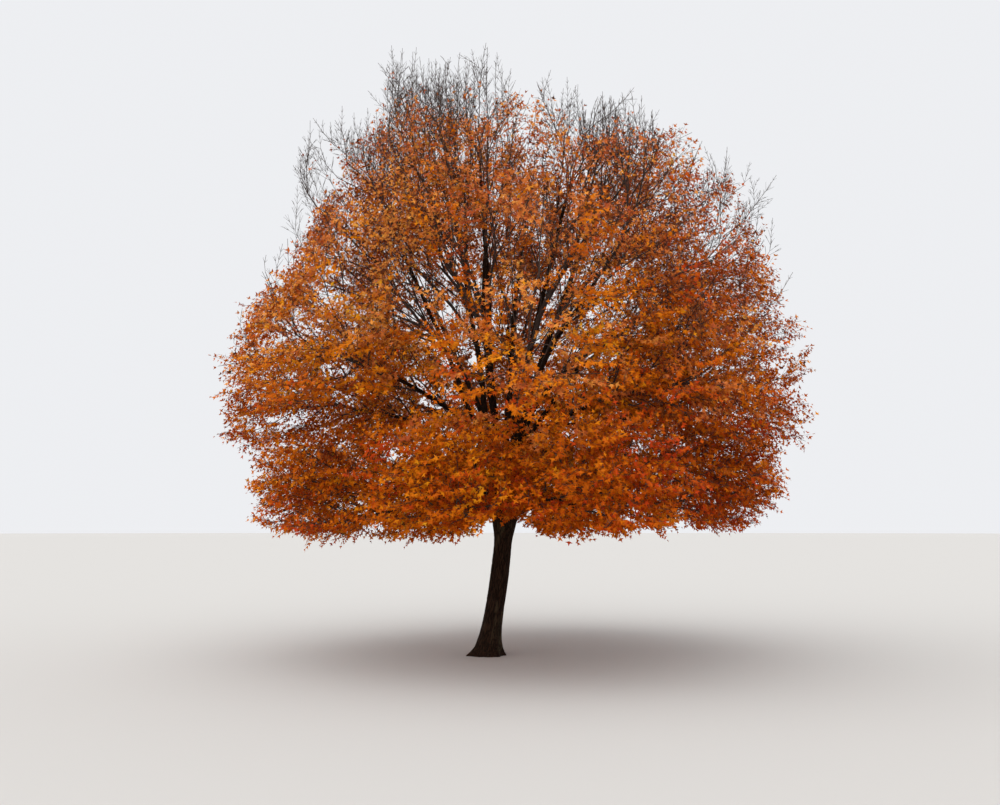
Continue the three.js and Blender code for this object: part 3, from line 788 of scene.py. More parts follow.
def plain_material(name, colour, roughness, specular):
    """A material of one colour all over."""
    material = bpy.data.materials.new(name)
    material.use_nodes = True
    shader = material.node_tree.nodes["Principled BSDF"]
    shader.inputs["Base Color"].default_value = (*colour, 1.0)
    shader.inputs["Roughness"].default_value = roughness
    shader.inputs["Specular IOR Level"].default_value = specular
    return material


tint_materials = [plain_material("leaf " + name, colour, 0.5, 0.05) for name, colour in TINTS]
twig_material = plain_material("twig bark", (0.066, 0.045, 0.036), 0.85, 0.2)
shoot_material = plain_material("young bark", (0.110, 0.062, 0.046), 0.75, 0.2)
leaf = leaf_object(tint_materials[0])
print("a leaf has", len(leaf.data.polygons), "faces and comes in", len(TINTS), "tints")

# %% Deal the tints out
WAVES, WAVE_LENGTH = 6, (0.9, 2.6)  # the shortest and the longest of the waves of colour
CROWN_REACH = 3.0  # from its axis to where its inside ends
colour_dice = np.random.default_rng(41)
wave_ways = unit(colour_dice.normal(size=(WAVES, 3))) * 2 * math.pi
wave_ways /= colour_dice.uniform(*WAVE_LENGTH, WAVES)[:, None]
wave_turns = colour_dice.uniform(0, 2 * math.pi, WAVES)


def deal_tints(number, feet, sprays, random):
    """The tint of each leaf of a mass, as its place in the table."""
    tier = masses[number]["tier"]["name"]
    first = np.searchsorted(sprays, np.arange(sprays.max() + 2))  # the first leaf of each spray
    centre = feet[np.minimum(first, len(feet) - 1)]
    waves = np.sin(centre @ wave_ways.T + wave_turns).sum(axis=1) / math.sqrt(WAVES / 2)
    inside = 1 - np.hypot(centre[:, 0] - AXIS_X, centre[:, 1]) / CROWN_REACH
    turned = np.interp(centre[:, 2], *TURNED) + INSIDE * inside + WAVE_HEIGHT * waves
    turned += random.normal(0, SPRAY_UNEVEN, len(turned)) - REDDER_RIGHT * (centre[:, 0] - AXIS_X)
    tint = np.rint(turned[sprays] + random.normal(0, LEAF_UNEVEN, len(sprays)))
    tint = np.clip(tint, 0, WITHERED - 1).astype(int)
    # painted light: the higher a spray, the likelier it takes a paler, greyer tint for the brighter
    # light there
    painted_light = (random.random(len(turned)) < np.interp(centre[:, 2], *PAINTED_LIGHT_SHARE))[sprays]
    tint[painted_light] = PAINTED_LIGHT + tint[painted_light] // 2
    withered = random.random(len(tint)) < WITHERED_SHARE[tier]
    tint[withered] = random.integers(WITHERED, PAINTED_LIGHT, withered.sum())
    return tint


# %% [markdown]
# ## A node tree that lays the leaves
# Nearly two hundred thousand leaves are one leaf, put down again and again. Each is a point that
# knows its way, its face, its size and its tint, and a node tree puts a leaf on every point. The
# leaves are then made real, because a tree of references would be lost when the model is exported.

# %% Build the node trees' helpers
def new_tree(name, inputs):
    """A geometry node tree with named inputs, its group input and its group output."""
    tree = bpy.data.node_groups.new(name, "GeometryNodeTree")
    tree.interface.new_socket("Geometry", in_out="INPUT", socket_type="NodeSocketGeometry")
    for label, kind in inputs:
        tree.interface.new_socket(label, in_out="INPUT", socket_type="NodeSocket" + kind)
    tree.interface.new_socket("Geometry", in_out="OUTPUT", socket_type="NodeSocketGeometry")
    return tree, tree.nodes.new("NodeGroupInput"), tree.nodes.new("NodeGroupOutput")


def add_node(tree, kind, inputs, **settings):
    """A node with its settings, and its inputs fed by plain values or by other nodes' outputs."""
    node = tree.nodes.new(kind)
    for label, value in settings.items():
        setattr(node, label, value)
    for label, value in inputs.items():
        if isinstance(value, bpy.types.NodeSocket):
            tree.links.new(value, node.inputs[label])
        else:
            node.inputs[label].default_value = value
    return node


def attribute(tree, name, kind):
    """The values of that name which the points carry."""
    node = add_node(tree, "GeometryNodeInputNamedAttribute", {"Name": name}, data_type=kind)
    return node.outputs["Attribute"]


def mark_points(mesh, name, kind, values):
    """Makes every point of a mesh carry a value of that name."""
    key = "vector" if kind == "FLOAT_VECTOR" else "value"
    mesh.attributes.new(name, kind, "POINT").data.foreach_set(key, values.ravel())


def put_in_scene(name, data):
    """An object of that name, in the scene."""
    made = bpy.data.objects.new(name, data)
    bpy.context.scene.collection.objects.link(made)
    return made


def plain_mesh(source):
    """What its modifiers make of an object, as a mesh without any."""
    evaluated = source.evaluated_get(bpy.context.evaluated_depsgraph_get())
    return bpy.data.meshes.new_from_object(evaluated)


def run_tree(name, mesh, tree, values):
    """Runs a node tree on a mesh and gives the result as a plain object."""
    source = put_in_scene(name + "_source", mesh)
    modifier = source.modifiers.new("grow", "NODES")
    modifier.node_group = tree
    sockets = {item.name: item.identifier for item in tree.interface.items_tree
               if item.in_out == "INPUT"}
    for label, value in values.items():
        modifier[sockets[label]] = value
    made = plain_mesh(source)
    made.name = name
    source.modifiers.remove(modifier)
    bpy.data.objects.remove(source)
    return put_in_scene(name, made)


# %% The tree that puts a leaf on every point
COMPARED = (2, 3)  # the two inputs for whole numbers of a node that compares


def leaf_tree():
    """Puts a leaf on every point, turned, sized and tinted as the point says."""
    labels = [("Leaf", "Object")] + [(name, "Material") for name, _ in TINTS]
    tree, source, result = new_tree("lay leaves", labels)
    turn = add_node(tree, "FunctionNodeAxesToRotation", {
        "Primary Axis": attribute(tree, "along", "FLOAT_VECTOR"),
        "Secondary Axis": attribute(tree, "face", "FLOAT_VECTOR"),
    }, primary_axis="X", secondary_axis="Z")
    shape = add_node(tree, "GeometryNodeObjectInfo", {"Object": source.outputs["Leaf"]})
    lay = add_node(tree, "GeometryNodeInstanceOnPoints", {
        "Points": source.outputs["Geometry"], "Instance": shape.outputs["Geometry"],
        "Rotation": turn.outputs["Rotation"], "Scale": attribute(tree, "size", "FLOAT"),
    })
    real = add_node(tree, "GeometryNodeRealizeInstances", {"Geometry": lay.outputs["Instances"]})
    last, tint = real.outputs["Geometry"], attribute(tree, "tint", "INT")
    for number, (name, _) in enumerate(TINTS):
        same = add_node(tree, "FunctionNodeCompare", dict(zip(COMPARED, (tint, number))),
                        data_type="INT", operation="EQUAL")
        last = add_node(tree, "GeometryNodeSetMaterial", {
            "Geometry": last, "Selection": same.outputs["Result"], "Material": source.outputs[name],
        }).outputs["Geometry"]
    tree.links.new(last, result.inputs["Geometry"])
    return tree


lay_leaves = leaf_tree()
print("the leaf tree has", len(lay_leaves.nodes), "nodes")

# %% [markdown]
# ## How a leaf hangs
# A leaf leaves its twig sideways and sags, most of all late in autumn. Its face turns up and out to
# the light, each a little differently. That unevenness is what makes the crown glitter. Leaves
# turned wholly at random would be simpler, but half of them would face away from the light, and
# leaves turned all alike would make the crown look combed.

# %% Turn every leaf
LEAF_SIZE = (0.064, 0.096)  # with its stalk
# the leaves grow smaller in full light
SMALLER = dict(crest=0.78, upper=0.80, shoulder=0.88, skirt=0.88, heart=0.85)
SAG = (0.10, 0.85)  # how far a leaf sags, at least and at most
FACE_UP, FACE_OUT, FACE_UNEVEN = 0.70, 0.80, 0.45  # how far its face turns up, out and astray
SIDEWAYS, STRAY = 0.35, 0.15  # how far a leaf beside a shoot leans along it, and how far any strays
LEAF_SEED = 900
POINT_VALUES = ("along", "face", "size", "tint")


def leaf_points(name, numbers):
    """The leaves of some masses as a mesh of points that carry way, face, size and tint."""
    feet, alongs, faces, sizes, tints = [], [], [], [], []
    for number in numbers:
        leaves = dressing[number][2]
        random = np.random.default_rng(LEAF_SEED + number)
        foot, way, side = (np.array([leaf[k] for leaf in leaves]) for k in range(3))
        at_tip = ~side.any(axis=1)
        sag = random.uniform(*SAG, len(leaves))[:, None]
        along = way * np.where(at_tip, 1.0, SIDEWAYS)[:, None] + side - sag * UP
        along = unit(along + random.normal(0, STRAY, along.shape))
        outward = foot - np.array([AXIS_X, 0, 0])
        outward[:, 2] = 0
        face = FACE_UP * UP + FACE_OUT * unit(outward) + random.normal(0, FACE_UNEVEN, foot.shape)
        face -= np.sum(face * along, axis=1, keepdims=True) * along
        feet.append(foot)
        alongs.append(along)
        faces.append(unit(face))
        size = random.uniform(*LEAF_SIZE, len(leaves))
        sizes.append(size * SMALLER[masses[number]["tier"]["name"]])
        tints.append(deal_tints(number, foot, np.array([leaf[3] for leaf in leaves]), random))
    feet = np.concatenate(feet)
    mesh = bpy.data.meshes.new(name + "_points")
    mesh.vertices.add(len(feet))
    mesh.vertices.foreach_set("co", feet.ravel())
    kinds = ("FLOAT_VECTOR", "FLOAT_VECTOR", "FLOAT", "INT")
    for label, kind, values in zip(POINT_VALUES, kinds, (alongs, faces, sizes, tints)):
        mark_points(mesh, label, kind, np.concatenate(values))
    return mesh


# %% Lay the leaves, tier by tier
MOST_LEAVES = 38000  # in one piece
leaf_values = {"Leaf": leaf, **{name: m for (name, _), m in zip(TINTS, tint_materials)}}


def split_into_pieces():
    """Groups of neighbouring masses of one tier, none with too many leaves."""
    groups = []
    for tier in TIERS:
        members = [k for k, mass in enumerate(masses) if mass["tier"] is tier]
        total = sum(len(dressing[k][2]) for k in members)
        parts = math.ceil(total / MOST_LEAVES)
        for part in np.array_split(members, parts):
            groups.append((tier["name"], len(groups) + 1, [int(k) for k in part]))
    return groups


def dress(piece, nodes):
    """The piece rides on the tree and stands for its CAD nodes, which are hidden."""
    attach(piece, "root")
    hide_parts(*nodes)
    piece.data.calc_loop_triangles()
    print(piece.name, "has", len(piece.data.loop_triangles), "triangles")


for tier_name, place, numbers in split_into_pieces():
    name = f"foliage_{tier_name}_{place}"
    piece = run_tree(name, leaf_points(name, numbers), lay_leaves, leaf_values)
    for label in POINT_VALUES:
        if label in piece.data.attributes:
            piece.data.attributes.remove(piece.data.attributes[label])
    dress(piece, ["leaves_" + masses[k]["name"] for k in numbers])

bpy.data.objects.remove(leaf)

# %% [markdown]
# ## Twigs as tubes
# A twig is a tube that follows its path and thins towards the tip. The node tree turns the edges
# into curves, gives them their radius and sweeps a small circle along them. Five sides are enough
# for a thick twig, and three for a thin one or a shoot. The last year's shoots have a bark of their
# own, paler and redder than the old twigs'. A curve with a bevel makes the same tube, but not
# thousands of them at once, each with its own thickness at every bend.

# %% The tree that sweeps a tube along every edge path
def path_and_ring(tree, source):
    """The edges of the mesh as a curve, and a ring to sweep along it."""
    curve = add_node(tree, "GeometryNodeMeshToCurve", {"Mesh": source.outputs["Geometry"]})
    ring = add_node(tree, "GeometryNodeCurvePrimitiveCircle",
                    {"Radius": 1.0, "Resolution": source.outputs["Sides"]})
    return curve.outputs["Curve"], ring.outputs["Curve"]


def sweep(tree, curve, ring):
    """The ring swept along the curve, as wide as the curve's corners say."""
    return add_node(tree, "GeometryNodeCurveToMesh", {
        "Curve": curve, "Profile Curve": ring, "Scale": attribute(tree, "thick", "FLOAT"),
        "Fill Caps": True,
    }).outputs["Mesh"]


def end_tree(tree, geometry, source, result):
    """The last two nodes of a tree that sweeps or cuts: all is made real and takes its bark."""
    real = add_node(tree, "GeometryNodeRealizeInstances", {"Geometry": geometry})
    paint = add_node(tree, "GeometryNodeSetMaterial", {
        "Geometry": real.outputs["Geometry"], "Material": source.outputs["Bark"],
    })
    tree.links.new(paint.outputs["Geometry"], result.inputs["Geometry"])


def tube_tree():
    """Sweeps tubes along the paths."""
    tree, source, result = new_tree("sweep tubes", [("Sides", "Int"), ("Bark", "Material")])
    end_tree(tree, sweep(tree, *path_and_ring(tree, source)), source, result)
    return tree


def path_mesh(name, paths, thicks):
    """Paths as runs of edges, each corner with its radius."""
    corners = np.concatenate(paths)
    starts = np.cumsum([0] + [len(path) for path in paths])
    edges = np.concatenate([
        np.stack([np.arange(a, b - 1), np.arange(a + 1, b)], axis=1)
        for a, b in zip(starts[:-1], starts[1:])
    ])
    mesh = bpy.data.meshes.new(name + "_paths")
    mesh.from_pydata(corners, edges, [])
    mark_points(mesh, "thick", "FLOAT", np.concatenate(thicks))
    return mesh


sweep_tubes = tube_tree()

# %% Sweep the twigs and the shoots
THIN_TWIG = 0.0045  # the thickest foot of a thin twig
LEAFY_SHOOT, BARE_SHOOT = (0.0018, 0.0010), (0.0023, 0.0012)  # radii at foot and tip


def join_pieces(name, pieces):
    """Several plain mesh objects as one."""
    with bpy.context.temp_override(
        active_object=pieces[0], selected_objects=pieces, selected_editable_objects=pieces
    ):
        bpy.ops.object.join()
    pieces[0].name = pieces[0].data.name = name
    return pieces[0]


for tier in TIERS:
    numbers = [k for k, mass in enumerate(masses) if mass["tier"] is tier]
    twigs = [twig for k in numbers for twig in crown[k]]
    leafy = [np.array(shoot) for k in numbers for shoot in dressing[k][0]]
    bare = [np.array(shoot) for k in numbers for shoot in dressing[k][1]]
    name = f"twigs_{tier['name']}"
    thick = [t for t in twigs if t["thick"][0] > THIN_TWIG]
    thin = [t for t in twigs if t["thick"][0] <= THIN_TWIG]
    parts = []
    for label, sides, bark, paths, thicks in (
        ("_thick", 5, twig_material, [t["path"] for t in thick], [t["thick"] for t in thick]),
        ("_thin", 3, twig_material, [t["path"] for t in thin], [t["thick"] for t in thin]),
        ("_leafy", 3, shoot_material, leafy, [np.array(LEAFY_SHOOT)] * len(leafy)),
        ("_bare", 3, twig_material, bare, [np.array(BARE_SHOOT)] * len(bare)),
    ):
        if paths:
            mesh = path_mesh(name + label, paths, thicks)
            values = {"Sides": sides, "Bark": bark}
            parts.append(run_tree(name + label, mesh, sweep_tubes, values))
    piece = join_pieces(name, parts)
    piece.data.shade_smooth()
    print(len(thick), "thick and", len(thin), "thin twigs,", len(leafy) + len(bare), "shoots")
    dress(piece, ["leaves_" + masses[k]["name"] for k in numbers])

# %% [markdown]
# ## The trunk's form
# The trunk swells into five root ribs, whose roots run out in short toes at the ground, and swells
# again below the fork. It is first made as rings round its bowed middle line, and the feet of the
# limbs that leave it are laid into its head as thick tubes that start deep inside, so that each
# stands out as a long muscle. A sculptor would push it all into shape by hand. Rings whose radius is
# a sum of a few swellings come near, and stay fitted to the solids.

# %% Make the trunk's rings
WAIST = 0.110
FLARE, FLARE_FALL = 0.075, 0.150  # the widening at the ground, and the height in which it fades
RIBS, RIB_DEPTH = 5, 0.2
SWELL, SWELL_FALL = 0.024, 0.500
HEAD, HEAD_FROM, HEAD_TO = 0.062, 1.33, 1.80
HEAD_SUNK = 0.04  # its top is this much lower than the solid's
SHOULDER_FROM, ROUNDED_OFF = 1.74, 0.75  # above this the head rounds over, by this much at its top
TRUNK_RINGS, TRUNK_SIDES = 110, 72
CHEST_HEIGHT = 1.3
BELOW_GROUND = 0.04  # cut off again later
TOES, TOE_STRAY = 7, 0.32  # roots that run out at the ground, and how unevenly they stand
TOE_LENGTH, TOE_WIDTH, TOE_FALL = (0.03, 0.09), (0.14, 0.24), (0.04, 0.08)

toe_dice = np.random.default_rng(12)
toe_turns = (np.arange(TOES) + toe_dice.uniform(-TOE_STRAY, TOE_STRAY, TOES)) * 2 * math.pi / TOES
toe_sizes = [toe_dice.uniform(*span, TOES) for span in (TOE_LENGTH, TOE_WIDTH, TOE_FALL)]


def toes(above, angle):
    """How far the roots stand out at each height and turn."""
    out = 0 * above
    for turn, length, width, fall in zip(toe_turns, *toe_sizes):
        aside = np.abs((angle - turn + math.pi) % (2 * math.pi) - math.pi)
        out = out + length * np.exp(-(aside / width) ** 2 - above / fall)
    return out


def trunk_radius(z, angle):
    """The sum of the trunk's swellings at each height and turn."""
    above = np.maximum(z, 0)
    ribs = 1 + RIB_DEPTH * np.cos(RIBS * angle)
    step = np.clip((z - HEAD_FROM) / (HEAD_TO - HEAD_FROM), 0, 1)
    head = HEAD * step**2 * (3 - 2 * step)
    flare = FLARE * np.exp(-above / FLARE_FALL) * ribs
    return WAIST + flare + SWELL * np.exp(-above / SWELL_FALL) + head + toes(above, angle)


def trunk_form():
    """The trunk as closed rings of faces."""
    z = np.linspace(-BELOW_GROUND, TRUNK_TOP - HEAD_SUNK, TRUNK_RINGS)
    angle = np.linspace(0, 2 * math.pi, TRUNK_SIDES, endpoint=False)
    level, turn = np.meshgrid(z, angle, indexing="ij")
    over = np.clip((level - SHOULDER_FROM) / (z[-1] - SHOULDER_FROM), 0, 1)
    radius = trunk_radius(level, turn) * np.sqrt(1 - ROUNDED_OFF * over**2)
    middle = trunk_middle(np.maximum(level, 0))
    corners = np.stack([middle[..., 0] + radius * np.cos(turn), radius * np.sin(turn), level], axis=-1)
    count = TRUNK_SIDES
    faces = [
        (ring * count + k, ring * count + (k + 1) % count,
         (ring + 1) * count + (k + 1) % count, (ring + 1) * count + k)
        for ring in range(TRUNK_RINGS - 1) for k in range(count)
    ]
    faces.append(tuple(range(count))[::-1])
    faces.append(tuple((TRUNK_RINGS - 1) * count + k for k in range(count)))
    mesh = bpy.data.meshes.new("trunk_form")
    mesh.from_pydata(corners.reshape(-1, 3), [], faces)
    return put_in_scene("trunk_form", mesh)


trunk = trunk_form()
print("the trunk is", round(2 * trunk_radius(CHEST_HEIGHT, 0.0), 3), "m thick at chest height")

# %% Lay the limbs' feet into its head
FOOT_DEPTH = dict(crest=0.42, skirt=0.10)  # how far down the trunk's middle a foot starts
FOOT_OUT = dict(crest=0.62, skirt=0.34)  # and how far along its limb it reaches
FOOT_STEPS = 8  # of its way inside the trunk
FOOT_SWELL = 1.32
FOOT_SIDES = 20
SUBMERGED = 0.003  # its end is this much thinner than the limb, and so lies inside it


def limb_radius(tier, share):
    """How thick a limb is at a share of its length."""
    foot, tip = tier["bough"]
    return foot + (tip - foot) * share


def limb_feet():
    """The thick lower ends of the limbs that leave the trunk, as paths with their radii."""
    paths, thicks = [], []
    for number, mass in enumerate(masses):
        tier = mass["tier"]
        if tier["on"] != "trunk":
            continue
        way = bough_ways[number]
        outer = way[: int(FOOT_OUT[tier["name"]] / LIMB_SPACING)]
        share = np.arange(len(outer)) / len(way)
        start = trunk_middle(way[0][2] - FOOT_DEPTH[tier["name"]])
        inner = start + np.linspace(0, 1, FOOT_STEPS)[:-1, None] * (way[0] - start)
        out = np.linspace(0, 1, len(share))
        thick = limb_radius(tier, share) * (1 + (FOOT_SWELL - 1) * (1 - out) ** 2)
        thick -= SUBMERGED * out
        paths.append(np.concatenate([inner, outer]))
        thicks.append(np.concatenate([np.full(len(inner), thick[0]), thick]))
    return paths, thicks


paths, thicks = limb_feet()
feet = run_tree("feet", path_mesh("feet", paths, thicks), sweep_tubes,
                {"Sides": FOOT_SIDES, "Bark": twig_material})
trunk = join_pieces("trunk_bark", [trunk, feet])
print(len(paths), "limbs leave the trunk")

# %% [markdown]
# ## Grown together
# Trunk and feet are still separate skins that cross. A voxel remesh melts them into one closed skin
# of small even faces, smoothing rounds the crotches, and the cut at ground level is made flat again.
# A boolean union would join them too, but leaves a hard line wherever two skins cross.

# %% Melt the trunk and the feet into one skin
TRUNK_GRAIN = 0.0075  # size of the faces
ROUNDINGS = 10

melt = trunk.modifiers.new("melt", "REMESH")
melt.mode = "VOXEL"
melt.voxel_size = TRUNK_GRAIN
rounding = trunk.modifiers.new("rounding", "SMOOTH")
rounding.factor = 0.5
rounding.iterations = ROUNDINGS
melted = plain_mesh(trunk)
trunk.modifiers.clear()
trunk.data = melted

edit = bmesh.new()
edit.from_mesh(trunk.data)
bmesh.ops.bisect_plane(edit, geom=edit.verts[:] + edit.edges[:] + edit.faces[:],
                       plane_co=(0, 0, 0), plane_no=(0, 0, 1), clear_inner=True)
rim = [edge for edge in edit.edges if edge.is_boundary]
bmesh.ops.holes_fill(edit, edges=rim)
bmesh.ops.recalc_face_normals(edit, faces=edit.faces)
edit.to_mesh(trunk.data)
edit.free()
print("the melted trunk has", len(trunk.data.polygons), "faces")

# %% [markdown]
# ## Furrowed bark
# The bark of this maple is thin and dark, broken into narrow upright plates with shallow furrows.
# The relief is real: a node tree pushes the skin in and out by a noise that is drawn out along the
# limb. To follow every limb, the noise reads a grain: a value at each corner that says where it
# lies round and along the limb, rather than where it stands in the air. A bump in the material
# would do for the broad side, but against the sky the limb would still have a smooth edge.

# %% The tree that cuts the relief
GRAIN_STRETCH = 0.15  # the pattern is this much longer along the limb than round it
# where the noise is this near its middle there is a furrow, its edges are rounded by the second
# number, and the third is the level that neither sinks nor rises
FURROW_EDGE, EDGE_ROUND, LEVEL = 0.10, 0.06, 0.08
FURROW_DETAIL, LUMP_DETAIL = 2.0, 1.0


def math_node(tree, operation, *values):
    """One step of arithmetic, on plain values or on other nodes' outputs."""
    return add_node(tree, "ShaderNodeMath", dict(enumerate(values)), operation=operation).outputs[0]


def noise_node(tree, vector, scale, detail):
    """A noise from 0 to 1 with that many lumps to the metre."""
    inputs = {"Vector": vector, "Scale": scale, "Detail": detail}
    return add_node(tree, "ShaderNodeTexNoise", inputs).outputs[0]


def off_middle(tree, vector, size, detail):
    """How far a noise with lumps of that size lies over or under its middle."""
    scale = math_node(tree, "DIVIDE", 1.0, size)
    return math_node(tree, "SUBTRACT", noise_node(tree, vector, scale, detail), 0.5)


def relief_tree():
    """Pushes the skin in along the furrows and out at the lumps."""
    labels = [("Furrow width", "Float"), ("Furrow depth", "Float"), ("Lump size", "Float"),
              ("Lump height", "Float"), ("Bark", "Material")]
    tree, source, result = new_tree("cut the relief", labels)
    grain = attribute(tree, "grain", "FLOAT_VECTOR")
    wave = off_middle(tree, grain, source.outputs["Furrow width"], FURROW_DETAIL)
    plates = math_node(tree, "ABSOLUTE", wave)
    plates = math_node(tree, "SMOOTH_MIN", plates, FURROW_EDGE, EDGE_ROUND)
    cut = math_node(tree, "SUBTRACT", plates, LEVEL)
    cut = math_node(tree, "MULTIPLY", cut, 1 / FURROW_EDGE)
    cut = math_node(tree, "MULTIPLY", cut, source.outputs["Furrow depth"])
    lump = off_middle(tree, grain, source.outputs["Lump size"], LUMP_DETAIL)
    lump = math_node(tree, "MULTIPLY", lump, source.outputs["Lump height"])
    push = add_node(tree, "ShaderNodeVectorMath", {
        0: tree.nodes.new("GeometryNodeInputNormal").outputs["Normal"],
        "Scale": math_node(tree, "ADD", cut, lump),
    }, operation="SCALE")
    move = add_node(tree, "GeometryNodeSetPosition", {
        "Geometry": source.outputs["Geometry"], "Offset": push.outputs[0],
    })
    end_tree(tree, move.outputs["Geometry"], source, result)
    return tree


cut_relief = relief_tree()

# %% [markdown]
# ## The bark's colours
# Seen close, the plates are grey-brown and the furrows nearly black, and pale lichen sits in small
# patches. The furrows and the hollows between the crumbs are partly the bark's own darker colour and
# partly painted shade in the recesses. All the bark's colours are set darker than bark in open light,
# as painted shade from the crown overhead, on top of the bark's own dark colour. One node group works
# that out from the grain for trunk and limbs alike, and each material sets its own sizes. Painting
# the pattern on the mesh would need far more faces than it has.

# %% The bark's shader group
PLATE_CONTRAST, BARK_DETAIL = 9.0, 3.0  # how sharply a plate rises out of its furrow
CRUMBS_FINER, CRUMB_DETAIL, CRUMB_HEIGHT = 4.0, 4.0, 0.5  # the small crumbs on the plates
PALEST = 0.35  # how much a plate keeps of its colour where its crumbs are lowest: painted shade in their hollows
LICHEN_PATCHES, LICHEN_DETAIL = 9.0, 5.0  # patches to the metre
LICHEN_FROM, LICHEN_SHARP = 0.56, 12.0  # the noise where a patch starts, and how sharp its edge is
ROUGHEST, SMOOTHER = 0.95, 0.15  # the furrows' roughness, and how much less the plates have
MIX_SHARE, MIX_FIRST, MIX_SECOND, MIXED = 0, 6, 7, 2  # sockets of a node that mixes two colours


def bark_group():
    """Works out the colour, roughness and height of bark from the grain."""
    group = bpy.data.node_groups.new("furrowed bark", "ShaderNodeTree")
    for label, kind in (("Grain", "Vector"), ("Furrow width", "Float"), ("Plate", "Color"),
                        ("Furrow", "Color"), ("Lichen", "Color"), ("Lichen share", "Float")):
        group.interface.new_socket(label, in_out="INPUT", socket_type="NodeSocket" + kind)
    for label, kind in (("Colour", "Color"), ("Roughness", "Float"), ("Height", "Float")):
        group.interface.new_socket(label, in_out="OUTPUT", socket_type="NodeSocket" + kind)
    source, result = group.nodes.new("NodeGroupInput"), group.nodes.new("NodeGroupOutput")
    width, grain = source.outputs["Furrow width"], source.outputs["Grain"]

    def sums(operation, *values):
        """A step of arithmetic inside the group."""
        return math_node(group, operation, *values)

    def mix(share, first, second):
        """Two colours mixed."""
        inputs = {MIX_SHARE: share, MIX_FIRST: first, MIX_SECOND: second}
        return add_node(group, "ShaderNodeMix", inputs, data_type="RGBA").outputs[MIXED]

    wave = sums("ABSOLUTE", off_middle(group, grain, width, BARK_DETAIL))
    plate = sums("MINIMUM", sums("MULTIPLY", wave, PLATE_CONTRAST), 1.0)
    fine = sums("MULTIPLY", sums("DIVIDE", 1.0, width), CRUMBS_FINER)
    crumbs = noise_node(group, grain, fine, CRUMB_DETAIL)
    # painted shade: the furrows and the crumbs' hollows, the low places of the same height that bumps
    # the skin, take the darker colour, partly the bark's own darker furrows
    shade = sums("MULTIPLY", plate, sums("ADD", crumbs, PALEST))
    patches = noise_node(group, grain, LICHEN_PATCHES, LICHEN_DETAIL)
    spots = sums("MULTIPLY", sums("SUBTRACT", patches, LICHEN_FROM), LICHEN_SHARP)
    spots = add_node(group, "ShaderNodeClamp", {"Value": spots}).outputs[0]
    spots = sums("MULTIPLY", sums("MULTIPLY", spots, source.outputs["Lichen share"]), shade)
    bark = mix(shade, source.outputs["Furrow"], source.outputs["Plate"])
    for label, value in (
        ("Colour", mix(spots, bark, source.outputs["Lichen"])),
        ("Roughness", sums("SUBTRACT", ROUGHEST, sums("MULTIPLY", shade, SMOOTHER))),
        ("Height", sums("ADD", plate, sums("MULTIPLY", crumbs, CRUMB_HEIGHT))),
    ):
        group.links.new(value, result.inputs[label])
    return group


furrowed_bark = bark_group()
print("the bark's group has", len(furrowed_bark.nodes), "nodes")

# %% The trunk's and the limbs' bark
# painted shade: these are set darker than this bark is in open light, for the deep shade under the
# crown, on top of the bark's own dark colour
PLATE, FURROW, LICHEN = (0.034, 0.016, 0.008), (0.006, 0.0025, 0.0015), (0.085, 0.066, 0.036)
TRUNK_FURROWS, LIMB_FURROWS = 0.021, 0.016  # how broad a furrow and its plate are together


def bark_material(name, width, lichen_share, bump):
    """Bark with furrows of that width, that share of lichen and bumps of that height."""
    material = bpy.data.materials.new(name)
    material.use_nodes = True
    tree = material.node_tree
    grain = tree.nodes.new("ShaderNodeAttribute")
    grain.attribute_name = "grain"
    bark = add_node(tree, "ShaderNodeGroup", {
        "Grain": grain.outputs["Vector"], "Furrow width": width, "Plate": (*PLATE, 1),
        "Furrow": (*FURROW, 1), "Lichen": (*LICHEN, 1), "Lichen share": lichen_share,
    }, node_tree=furrowed_bark)
    relief = add_node(tree, "ShaderNodeBump", {
        "Strength": 0.8, "Distance": bump, "Height": bark.outputs["Height"],
    })
    shader = tree.nodes["Principled BSDF"]
    tree.links.new(bark.outputs["Colour"], shader.inputs["Base Color"])
    tree.links.new(bark.outputs["Roughness"], shader.inputs["Roughness"])
    tree.links.new(relief.outputs["Normal"], shader.inputs["Normal"])
    shader.inputs["Specular IOR Level"].default_value = 0.10
    return material


trunk_material = bark_material("trunk bark", TRUNK_FURROWS, 0.65, 0.0025)
limb_material = bark_material("limb bark", LIMB_FURROWS, 0.35, 0.0015)

# %% Cut the trunk's relief
def corners_of(mesh):
    """Where the corners of a mesh are, in rows of three."""
    corners = np.empty(3 * len(mesh.vertices))
    mesh.vertices.foreach_get("co", corners)
    return corners.reshape(-1, 3)


corners = corners_of(trunk.data)
grain = corners - trunk_middle(np.clip(corners[:, 2], 0, TRUNK_TOP))
grain[:, 2] = GRAIN_STRETCH * corners[:, 2]
mark_points(trunk.data, "grain", "FLOAT_VECTOR", grain)
relieved = run_tree("trunk_bark", trunk.data, cut_relief, {
    "Furrow width": TRUNK_FURROWS, "Furrow depth": 0.0035, "Lump size": 0.12,
    "Lump height": 0.022, "Bark": trunk_material})
bpy.data.objects.remove(trunk)
trunk = relieved
trunk.name = "trunk_bark"
trunk.data.shade_smooth()
corners = corners_of(trunk.data)
corners[:, 2] = np.maximum(corners[:, 2], 0)  # the cut stays flat and level
trunk.data.vertices.foreach_set("co", corners.ravel())
dress(trunk, ["trunk"])

# %% [markdown]
# ## The boughs
# Each bough is one tube along its curve, from its foot in the trunk or leader to the place where
# its mass begins. It swells to a collar where it leaves, and wanders a little. Its grain runs along
# it, so the bark's furrows follow every bend. The boughs stay tubes and aren't melted together as
# the trunk is, because a tube's corners know where they lie along their limb.

